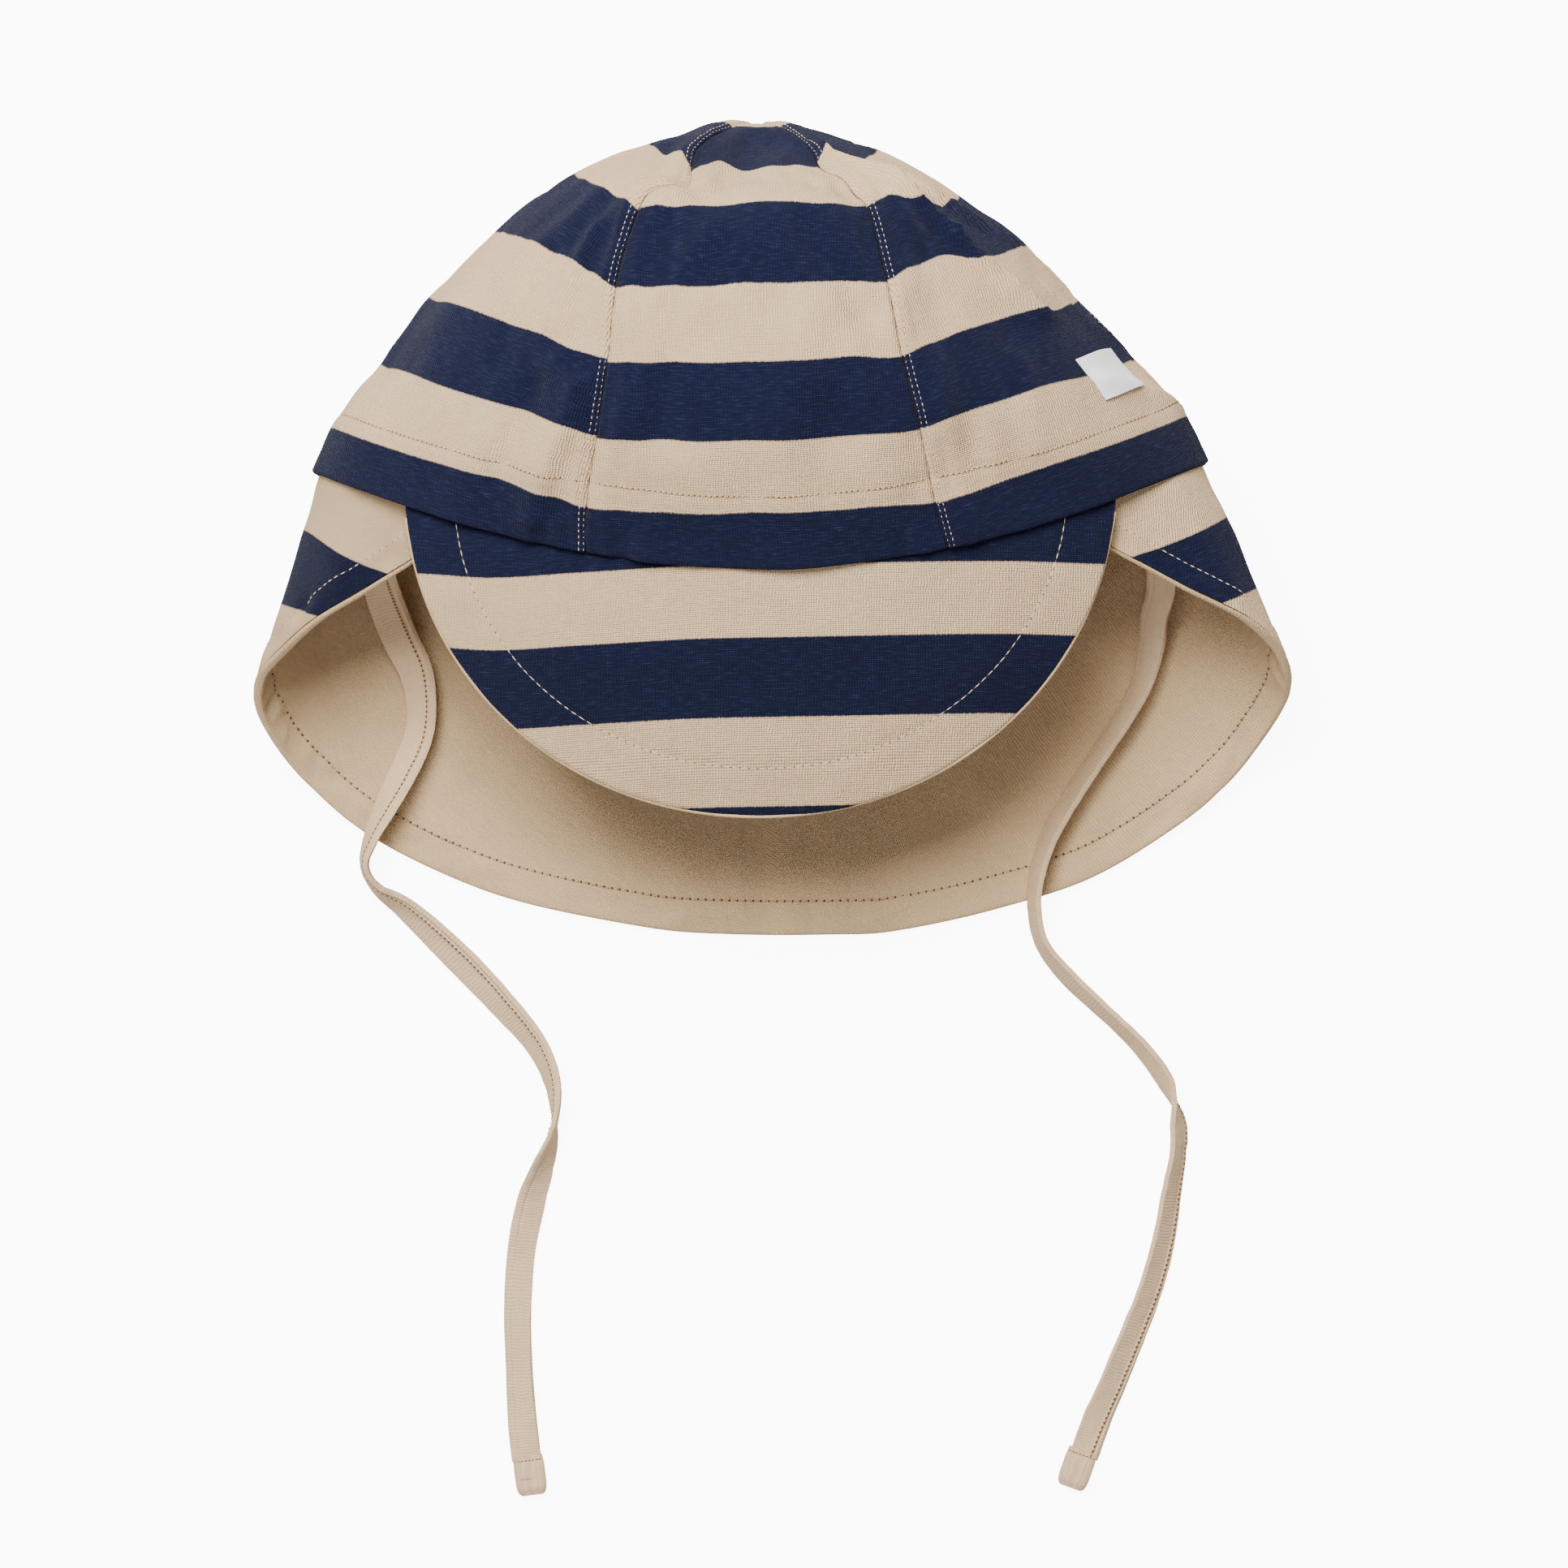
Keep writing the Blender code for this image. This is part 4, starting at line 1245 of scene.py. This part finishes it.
def make_lining(flap):
    """The plain lining, which shows inside the flap and is rolled over its hem."""
    flap.groove = 1.0

    def place(across, up):
        row = up * LINING_ROWS - ROLL_ROWS
        level = row / ROLL_ROWS if row < 0 else row / (LINING_ROWS - ROLL_ROWS)
        flat_across, flat_along = flap.flat_place(1 - across, max(level, 0.0))
        return lining_place(flap, 1 - across, level)[0], (flat_across, flat_along - min(level, 0.0) * 5 * MM)

    cloths = (plain_lining(), plain_lining())
    piece = cloth_grid("flap_lining", FLAP_COLUMNS, LINING_ROWS, place, cloths, flap.sizes.wall)
    return keep(piece, "plain_lining", "flap_lining")


def path_length(points):
    """Length of a line of points."""
    return sum((there - here).length for here, there in zip(points, points[1:]))


def cut_size(flap):
    """The size that a flap's cloth is cut to: its hem, its length from hem to tucked edge, and its area."""
    columns = [flap.column(step / CUT_STEPS)[:3] for step in range(CUT_STEPS + 1)]
    ribs = [(tip - foot).length + (foot - tucked).length for tip, foot, tucked in columns]
    area = 0.0
    for rib, (tip, foot, _), (next_tip, next_foot, _) in zip(ribs, columns, columns[1:]):
        area += rib * ((next_tip - tip).length + (next_foot - foot).length) / 2
    return (path_length([tip for tip, _, _ in columns]), max(ribs)), area


class SUNHAT_OT_neck_flap(bpy.types.Operator):
    """Makes the neck flap and its lining"""

    bl_idname = "sunhat.neck_flap"
    bl_label = "Neck Flap and Lining"

    def execute(self, context):
        flap = flap_form(context)
        flat, area = cut_size(flap)
        for cloth in (make_flap(flap), make_lining(flap)):
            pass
        return {"FINISHED"}


class SUNHAT_OT_flap_stitching(bpy.types.Operator):
    """Sews the row beside the flap's hem, seen on both of its sides"""

    bl_idname = "sunhat.flap_stitching"
    bl_label = "Flap Stitching"

    def execute(self, context):
        flap = flap_form(context)
        outer, inner = [], []
        for step in range(HEM_ROW_STEPS + 1):
            across = 0.004 + 0.992 * step / HEM_ROW_STEPS
            up = flap.sizes.hem_inset / flap.rib(across) * TUCK_SHARE
            if up > 0.9:
                continue
            outer.append(flap.skin(across, up))
            start = ROLL_RADIUS * MM / flap.rib(across) * TUCK_SHARE
            inner.append(lining_place(flap, across, (up - start) / (1 - start)))
        sew("flap_stitching", [(outer, HEM_STITCH), (inner, HEM_INNER_STITCH)])
        return {"FINISHED"}


# The peak, in millimetres, degrees and shares. PEAK_RIM is the width and the height of its rolled rim,
# PEAK_RIM_PLACE how far that lies out from the edge and below the top face.

PEAK_CROWNING = 2.0
PEAK_END_TURN = 2.0
PEAK_SQUARENESS = 2.05
PEAK_LEVELS = 0.93
PEAK_DRAWN_IN = 1.5
PEAK_OUTLINE_STEPS = 160
PEAK_EDGE_ROUNDING = 1.6
PEAK_EDGE_DEPTH = 0.7
PEAK_STITCH_INSET = 12.0
PEAK_GROOVE = 0.20
PEAK_GROOVE_WIDTH = 0.9
PEAK_EDGE_SHIFT = 2.1
PEAK_TIP_SHIFT = 2.3
PEAK_RIM = (1.1, 1.8)
PEAK_RIM_PLACE = (0.05, 1.25)
PEAK_RIM_CUTS = 200
PEAK_COLUMNS = 130
PEAK_ROWS = 60
PEAK_ROW_STEPS = 240
PEAK_ROW_CROWDING = 0.05


class PeakForm:
    """Places on the peak; across runs from left to right, up from the outline to the tucked edge."""

    def __init__(self, crown, sizes):
        self.crown = crown
        self.sizes = sizes
        self.inset = crown.sizes.wall + TUCK_GAP * MM
        corner = sizes.corner_angle
        self.left = band_places(crown, -corner, self.inset)[0]
        self.right = band_places(crown, corner, self.inset)[0]
        self.outline = [self.tip(step / PEAK_OUTLINE_STEPS) for step in range(PEAK_OUTLINE_STEPS + 1)]

    def tip(self, across):
        """The outline."""
        around = math.radians(mix(PEAK_END_TURN, 180 - PEAK_END_TURN, across))
        power = 2 / PEAK_SQUARENESS
        sideways = -math.copysign(abs(math.cos(around)) ** power, math.cos(around))
        corner = mix(self.left, self.right, across)
        drawn_in = PEAK_DRAWN_IN * MM * math.sin(2 * around)
        x = mix(self.left.x, self.right.x, (1 + sideways) / 2) + drawn_in
        height = mix(self.sizes.corner_height, self.sizes.tip_height, math.sin(around))
        return Vector((x, corner.y - self.sizes.reach * math.sin(around) ** power, height))

    def plain(self, across, up):
        """The top face without its soft shapes."""
        corner = self.sizes.corner_angle
        foot, tucked = band_places(self.crown, mix(-corner, corner, across), self.inset)
        if up > PEAK_LEVELS:
            return mix(foot, tucked, (up - PEAK_LEVELS) / (1 - PEAK_LEVELS))
        share = up / PEAK_LEVELS
        point = mix(self.tip(across), foot, share)
        bulge = math.sin(math.radians(mix(PEAK_END_TURN, 180 - PEAK_END_TURN, across)))
        point.z += PEAK_CROWNING * MM * 4 * share * (1 - share) * bulge
        return point

    def outward(self, across, up):
        """The upward unit normal."""
        across = clamp(across, 0.01, 0.99)
        up = clamp(up, 0.02, PEAK_LEVELS - 0.02)
        forward = self.plain(across, up + 0.02) - self.plain(across, up - 0.02)
        sideways = self.plain(across + 0.01, up) - self.plain(across - 0.01, up)
        return sideways.cross(forward).normalized()

    def from_outline(self, point):
        """How far a point lies from the nearest place on the outline, seen from above, in millimetres."""
        return min(math.hypot(point.x - corner.x, point.y - corner.y) for corner in self.outline) / MM

    def row_place(self, across):
        """How far up a rib its row of stitches lies, or None where the rib is too short for it."""
        low, high = 0.0, PEAK_LEVELS
        if self.from_outline(self.plain(across, high)) < PEAK_STITCH_INSET:
            return None
        for _ in range(14):
            middle = (low + high) / 2
            if self.from_outline(self.plain(across, middle)) < PEAK_STITCH_INSET:
                low = middle
            else:
                high = middle
        return high

    def top(self, across, up):
        """The finished top face and its normal."""
        point = self.plain(across, up)
        normal = self.outward(across, up)
        away = (point - self.tip(across)).length / MM
        height = swells(PEAK_SWELLS, point)
        height -= PEAK_GROOVE * bell(self.from_outline(point) - PEAK_STITCH_INSET, PEAK_GROOVE_WIDTH)
        height -= PEAK_EDGE_DEPTH * rounded(away / PEAK_EDGE_ROUNDING)
        return point + normal * height * MM, normal


# Where the peak's first stripe edge lies in the row frame, in millimetres
Edge = namedtuple("Edge", "x y")
PEAK_EDGES = (
    Edge(-84.0, -24.4),
    Edge(-66.0, -25.6),
    Edge(-46.0, -24.6),
    Edge(-18.0, -23.1),
    Edge(11.0, -22.5),
    Edge(57.0, -21.7),
    Edge(82.0, -22.1),
)


def past_peak_edge(point):
    """How far a point lies past the peak's first stripe edge, towards its tip, in millimetres."""
    x = clamp(point.x / MM, PEAK_EDGES[0].x, PEAK_EDGES[-1].x)
    return table_row(PEAK_EDGES, x).y - point.y / MM


def make_peak(peak):
    """The peak, striped on top with a plain underside."""

    def place(across, up):
        crowded = up - PEAK_ROW_CROWDING * math.sin(2 * math.pi * up)
        point = peak.top(across, crowded)[0]
        past = past_peak_edge(point)
        shift = PEAK_EDGE_SHIFT * (1 - smooth(past / 16)) + PEAK_TIP_SHIFT * smooth((past - 44) / 10)
        return point, (point.x + 0.2, (FIRST_EDGE + past - shift) * MM)

    cloths = (striped_jersey(), plain_lining())
    piece = cloth_grid("peak", PEAK_COLUMNS, PEAK_ROWS, place, cloths, peak.sizes.wall, rim=0.0007)
    piece.modifiers["cloth thickness"].material_offset_rim = 1
    return keep(piece, "striped_jersey", "peak")


def make_peak_rim(peak):
    """The lining's edge, which shows as a thin roll round the peak."""
    shape = bmesh.new()
    bmesh.ops.create_cone(shape, cap_ends=False, segments=10, radius1=0.5, radius2=0.5, depth=1.0)
    sides = [edge for edge in shape.edges if abs(edge.verts[0].co.z - edge.verts[1].co.z) > 0.5]
    bmesh.ops.subdivide_edges(shape, edges=sides, cuts=PEAK_RIM_CUTS)
    for corner in shape.verts:
        across = 0.001 + 0.998 * (corner.co.z + 0.5)
        ahead = (peak.tip(min(across + 0.002, 1.0)) - peak.tip(max(across - 0.002, 0.0))).normalized()
        away = ahead.cross(peak.outward(across, 0.02)).normalized()
        up = away.cross(ahead)
        outward = PEAK_RIM_PLACE[0] + corner.co.x * PEAK_RIM[0]
        raised = corner.co.y * PEAK_RIM[1] - PEAK_RIM_PLACE[1]
        corner.co = peak.tip(across) + (away * outward + up * raised) * MM
    bmesh.ops.holes_fill(shape, edges=[edge for edge in shape.edges if edge.is_boundary])
    bmesh.ops.recalc_face_normals(shape, faces=shape.faces)
    for face in shape.faces:
        face.smooth = True
    return keep(new_piece(shape, "peak_rim", [rim_cloth()]), "plain_lining")


class SUNHAT_OT_peak(bpy.types.Operator):
    """Makes the peak and its curved row of stitching"""

    bl_idname = "sunhat.peak"
    bl_label = "Peak"

    def execute(self, context):
        scene = context.scene
        peak = PeakForm(CrownForm(scene.sun_hat_crown), scene.sun_hat_peak)
        make_peak(peak)
        make_peak_rim(peak)
        path = []
        for step in range(PEAK_ROW_STEPS + 1):
            across = 0.002 + 0.996 * step / PEAK_ROW_STEPS
            up = peak.row_place(across)
            if up is not None:
                path.append(peak.top(across, up))
        sew("peak_stitching", [(path, PEAK_STITCH)])
        return {"FINISHED"}


# The ties, in millimetres, with shares of a tie's width. TIE_LAYERS are the grooves between the pressed
# layers along its sewn edge, and TAB_LAP is how far a folded end laps over the tie.

TIE_ROWS = 420
TIE_COLUMNS = 28
TIE_SEAM = 0.17
TIE_HEM = 0.40
TIE_HEM_EDGE = 0.05
TIE_LAYERS = (0.05, 0.11)
TIE_LAYER_GROOVE = 0.42
TIE_LAYER_WIDTH = 0.025
TIE_CURL = 0.35
TIE_RIPPLE = 0.12
LINE_STEPS = 300
TAB_LAP = 1.2
TAB_COLUMNS = 44
TAB_ROWS = 24
TAB_WALL = 0.7
PINK_STEPS = 8
MOUTH_STEPS = 20
UPWARD = Vector((0.0, 0.0, 1.0))


class TieForm:
    """Places on a flat tie that follows a route."""

    def __init__(self, route, sizes):
        self.route = route
        self.sizes = sizes

    def centre(self, share):
        """The tie's middle, its tilt in radians and its width."""
        route = self.route
        position = share * (len(route) - 1)
        index = clamp(int(position), 0, len(route) - 2)
        before = route[max(index - 1, 0)]
        after = route[min(index + 2, len(route) - 1)]
        rows = zip(before, route[index], route[index + 1], after)
        spot = RoutePoint(*(cubic(*values, position - index) for values in rows))
        tilt = math.radians(spot.tilt)
        width = spot.wide * self.sizes.width
        lift = abs(math.sin(tilt)) * width / 2 + self.sizes.wall / 2
        return Vector((spot.x, spot.y, spot.under + lift)), tilt, width

    def axes(self, share):
        """The tie's middle, the direction it runs in, the direction of its first edge, and its width."""
        centre, tilt, width = self.centre(share)
        ahead = self.centre(min(share + 0.01, 1.0))[0] - self.centre(max(share - 0.01, 0.0))[0]
        level = Vector((-ahead.y, ahead.x, 0.0)).normalized()
        ahead.normalize()
        return centre, ahead, level * math.cos(tilt) + ahead.cross(level) * math.sin(tilt), width

    def face(self, across, share):
        """The upper face and its normal; across is 0 at the first edge."""
        centre, ahead, edge, width = self.axes(share)
        normal = ahead.cross(edge)
        height = TIE_CURL * (1 - (2 * across - 1) ** 2) * noise.noise(Vector((share * 14.0, 1.0, 4.0)))
        height += TIE_RIPPLE * noise.noise(Vector((share * 90.0, across * 3.0, 4.0)))
        height += TIE_HEM * smooth((TIE_SEAM + TIE_HEM_EDGE - across) * 16.0)
        height -= TIE_LAYER_GROOVE * sum(bell(across - layer, TIE_LAYER_WIDTH) for layer in TIE_LAYERS)
        return centre + edge * (0.5 - across) * width + normal * (self.sizes.wall / 2 + height * MM), normal

    def back(self, across, share):
        """The lower face and its normal."""
        point, normal = self.face(across, share)
        return point - normal * self.sizes.wall, -normal

    def centreline(self):
        """Points close together along the middle of the tie."""
        return [self.centre(step / LINE_STEPS)[0] for step in range(LINE_STEPS + 1)]


def make_tie(name, tie):
    """A tie as a folded flat strip."""
    length = path_length(tie.centreline())

    def place(across, up):
        return tie.face(across, up)[0], (up * length, 0.1 + across * tie.sizes.width)

    cloths = (tie_cloth(), tie_cloth())
    piece = cloth_grid(name, TIE_COLUMNS, TIE_ROWS, place, cloths, tie.sizes.wall, rim=0.00035)
    return keep(piece, "tie_jersey", name)


def powered(value, power):
    """A value raised to a power, with its sign kept."""
    return math.copysign(abs(value) ** power, value)


def tab_spot(tie, across, up):
    """A place on a tie's folded end: across runs round the fold, up from its sewn mouth to its tip."""
    sizes = tie.sizes
    end, ahead = tie.axes(1.0)[:2]
    ahead = Vector((ahead.x, ahead.y, 0.0)).normalized()
    sideways = Vector((ahead.y, -ahead.x, 0.0))
    turn = mix(0.07, 0.93, across) * 2 * math.pi
    round_off = (1 - 0.30 * rounded((1 - up) / 0.34)) * mix(0.94, 1.0, smooth(up * 4.0))
    wide = powered(math.cos(turn), 0.5) * sizes.tab_width / 2 * round_off
    tall = powered(math.sin(turn), 0.9) * sizes.tab_height / 2
    flat = mix(0.80, 0.97, smooth(up * 2.5)) * mix(1.0, 0.72, smooth((up - 0.8) * 5.0))
    far = up * (sizes.tab_length + TAB_LAP * MM) - TAB_LAP * MM
    point = end + ahead * far - sideways * wide
    point.z = CLOTH_GAP * MM + (sizes.tab_height / 2 - tall) * flat
    return point


def make_tab(name, tie):
    """The folded end of a tie: a strip turned back on itself and sewn flat over the tie's end."""
    sizes = tie.sizes

    def place(across, up):
        return tab_spot(tie, 1 - across, up), (0.1 + across * sizes.tab_width * 2, up * sizes.tab_length)

    cloths = (tie_cloth(), tie_cloth())
    piece = cloth_grid(name, TAB_COLUMNS, TAB_ROWS, place, cloths, TAB_WALL * MM, rim=0.00025)
    return keep(piece, "tie_jersey", name)


def tab_row(tie, start, reach, up, steps):
    """A row on the upper face of a folded end, from a start over a reach round its fold."""
    return [(tab_spot(tie, start + reach * step / steps, up), UPWARD) for step in range(steps + 1)]


class SUNHAT_OT_ties(bpy.types.Operator):
    """Makes the two ties with their folded ends and their stitched edges"""

    bl_idname = "sunhat.ties"
    bl_label = "Ties"

    def execute(self, context):
        sizes = context.scene.sun_hat_ties
        rows = []
        for side, route in (("left", LEFT_ROUTE), ("right", RIGHT_ROUTE)):
            tie = TieForm(route, sizes)
            strip = make_tie(f"tie_{side}", tie)
            tab = make_tab(f"tie_{side}_end", tie)
            line = tie.centreline()
            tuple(line[0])
            path_length(line)
            for face in (tie.face, tie.back):
                rows.append(([face(TIE_SEAM, step / TIE_ROWS) for step in range(TIE_ROWS - 1)], TIE_STITCH))
            rows.append((tab_row(tie, 0.53, 0.40, 0.11, MOUTH_STEPS), TAB_STITCH))
        rows.append((tab_row(TieForm(LEFT_ROUTE, sizes), 0.705, 0.085, 0.55, PINK_STEPS), PINK_MARK))
        sew("tie_stitching", rows, spun_material("pink_mark", hat_colours().mark))
        return {"FINISHED"}


# The side label, in millimetres but for its rim in metres

# The label's corners: share of the gore's length, and degrees round the crown at its two sides there
LabelEdge = namedtuple("LabelEdge", "along first_angle last_angle")
LABEL_EDGES = (LabelEdge(0.1845, 57.3, 70.3), LabelEdge(0.2705, 56.5, 72.7))
LABEL_LIFT = 0.8
LABEL_PUFF = 0.3
LABEL_WAVE = 0.25
LABEL_WALL = 0.6
LABEL_SIZE = (12.0, 13.0)
LABEL_COLUMNS = 24
LABEL_ROWS = 28
LABEL_RIM = 0.0002


class SUNHAT_OT_side_label(bpy.types.Operator):
    """Makes the bare folded tape on the crown's right side"""

    bl_idname = "sunhat.side_label"
    bl_label = "Side Label"

    def execute(self, context):
        form = CrownForm(context.scene.sun_hat_crown)

        def place(across, up):
            along, first_angle, last_angle = (mix(low, high, up) for low, high in zip(*LABEL_EDGES))
            angle = mix(first_angle, last_angle, across)
            angles, travelled = form.arc(along, *form.seams(along)[1:3])
            after = clamp(bisect.bisect_right(angles, angle), 1, ARC_SAMPLES)
            share = (angle - angles[after - 1]) / (angles[after] - angles[after - 1])
            distance = mix(travelled[after - 1], travelled[after], share)
            rise = crown_relief(form, along, angle, distance, travelled[-1] - distance, GORES[1])
            puff = LABEL_PUFF * smooth(min(across, 1 - across) * 5.0)
            puff += LABEL_WAVE * noise.noise(Vector((across * 2, up * 3, 0.5)))
            lift = rise + (puff + LABEL_LIFT) * MM
            flat = (across * LABEL_SIZE[0] * MM, up * LABEL_SIZE[1] * MM)
            return form.point(along, angle) + form.outward(along, angle) * lift, flat

        tape = tape_material()
        wall = LABEL_WALL * MM
        piece = cloth_grid("side_label", LABEL_COLUMNS, LABEL_ROWS, place, (tape, tape), wall, rim=LABEL_RIM)
        keep(piece, "label_tape", "side_label")
        return {"FINISHED"}


# The stage: places in metres, the lens in millimetres, the lights in watts

CAMERA_SPOT = (0.0044, -0.0772, 1.336)
CAMERA_LENS = 121.1
FLOOR_SIZE = 4.0
FLOOR_DROP = 0.0003
FLOOR_GLOW = 9.0
SKY_STRENGTH = 0.24
LIGHT_AIM = Vector((0.0, -0.05, 0.0))
BLACK = (0.0, 0.0, 0.0)
WHITE = (1.0, 1.0, 1.0)
Light = namedtuple("Light", "name spot size watts tint")
KEY = Light("key", (-0.28, 0.63, 1.29), 0.78, 58.0, (1.0, 0.99, 0.97))
FILL = Light("fill", (-0.30, -0.70, 1.1), 0.9, 5.5, (0.97, 0.98, 1.0))


def add_light(light):
    """A soft square area light that looks at the hat."""
    data = bpy.data.lights.new(light.name, "AREA")
    data.shape = "SQUARE"
    data.size = light.size
    data.energy = light.watts
    data.color = light.tint
    lamp = bpy.data.objects.new(light.name, data)
    bpy.context.scene.collection.objects.link(lamp)
    lamp.location = light.spot
    lamp.rotation_mode = "QUATERNION"
    lamp.rotation_quaternion = (LIGHT_AIM - Vector(light.spot)).to_track_quat("-Z", "Y")
    return lamp


def add_camera(scene):
    """The camera, straight above the hat."""
    data = bpy.data.cameras.new("camera")
    data.lens = CAMERA_LENS
    data.sensor_width = 36.0
    data.clip_start = 0.05
    camera = bpy.data.objects.new("camera", data)
    camera.location = CAMERA_SPOT
    scene.collection.objects.link(camera)
    scene.camera = camera
    return camera


def add_floor():
    """The pale floor, which looks white to the camera and lights nothing by that."""
    shape = bmesh.new()
    bmesh.ops.create_grid(shape, x_segments=1, y_segments=1, size=FLOOR_SIZE)
    material, tree, shader = new_material("floor")
    shader.inputs["Sheen Weight"].default_value = 0.0
    shader.inputs["Base Color"].default_value = (*hat_colours().floor, 1.0)
    shader.inputs["Emission Strength"].default_value = FLOOR_GLOW
    seen = node(tree, "ShaderNodeLightPath").outputs["Is Camera Ray"]
    tree.links.new(blend_colours(tree, seen, BLACK, WHITE), shader.inputs["Emission Color"])
    floor = new_piece(shape, "floor", [material])
    floor.location.z = -FLOOR_DROP
    return floor


def set_sky(scene):
    """An even white light from all round."""
    world = bpy.data.worlds.new("studio")
    world.use_nodes = True
    sky = world.node_tree.nodes["Background"]
    sky.inputs["Color"].default_value = (*WHITE, 1.0)
    sky.inputs["Strength"].default_value = SKY_STRENGTH
    scene.world = world


class SUNHAT_OT_stage(bpy.types.Operator):
    """Sets the camera, the pale floor and the soft studio light"""

    bl_idname = "sunhat.stage"
    bl_label = "Stage"

    def execute(self, context):
        scene = context.scene
        camera = add_camera(scene)
        floor = add_floor()
        set_sky(scene)
        key = add_light(KEY)
        fill = add_light(FILL)
        return {"FINISHED"}


class SUNHAT_PT_tools(bpy.types.Panel):
    """The sun hat's tools"""

    bl_idname = "SUNHAT_PT_tools"
    bl_label = "Sun Hat"
    bl_space_type = "VIEW_3D"
    bl_region_type = "UI"
    bl_category = "Sun Hat"

    def draw(self, context):
        layout = self.layout
        for label, group in SETTINGS:
            box = layout.box()
            box.label(text=label)
            settings = getattr(context.scene, group)
            for name in settings.__annotations__:
                box.prop(settings, name)
        for operator in OPERATORS:
            layout.operator(operator.bl_idname)


SETTINGS = (
    ("Crown", "sun_hat_crown"),
    ("Peak", "sun_hat_peak"),
    ("Neck flap", "sun_hat_flap"),
    ("Ties", "sun_hat_ties"),
    ("Colours", "sun_hat_colours"),
)
GROUPS = (SunHatCrownSizes, SunHatPeakSizes, SunHatFlapSizes, SunHatTieSizes, SunHatColours)
OPERATORS = (
    SUNHAT_OT_stage,
    SUNHAT_OT_ties,
    SUNHAT_OT_crown,
    SUNHAT_OT_crown_stitching,
    SUNHAT_OT_peak,
    SUNHAT_OT_neck_flap,
    SUNHAT_OT_flap_stitching,
    SUNHAT_OT_side_label,
)


def register():
    """Adds the settings, the operators and the panel."""
    for kind in (*GROUPS, *OPERATORS, SUNHAT_PT_tools):
        bpy.utils.register_class(kind)
    for (_, name), group in zip(SETTINGS, GROUPS):
        setattr(bpy.types.Scene, name, bpy.props.PointerProperty(type=group))


def unregister():
    """Takes them away again."""
    for _, name in SETTINGS:
        delattr(bpy.types.Scene, name)
    for kind in (SUNHAT_PT_tools, *reversed(OPERATORS), *reversed(GROUPS)):
        bpy.utils.unregister_class(kind)


def main():
    """Makes every piece."""
    register()
    bpy.ops.sunhat.stage()
    bpy.ops.sunhat.ties()
    bpy.ops.sunhat.crown()
    bpy.ops.sunhat.crown_stitching()
    bpy.ops.sunhat.peak()
    bpy.ops.sunhat.neck_flap()
    bpy.ops.sunhat.flap_stitching()
    bpy.ops.sunhat.side_label()


if __name__ == "__main__":
    main()
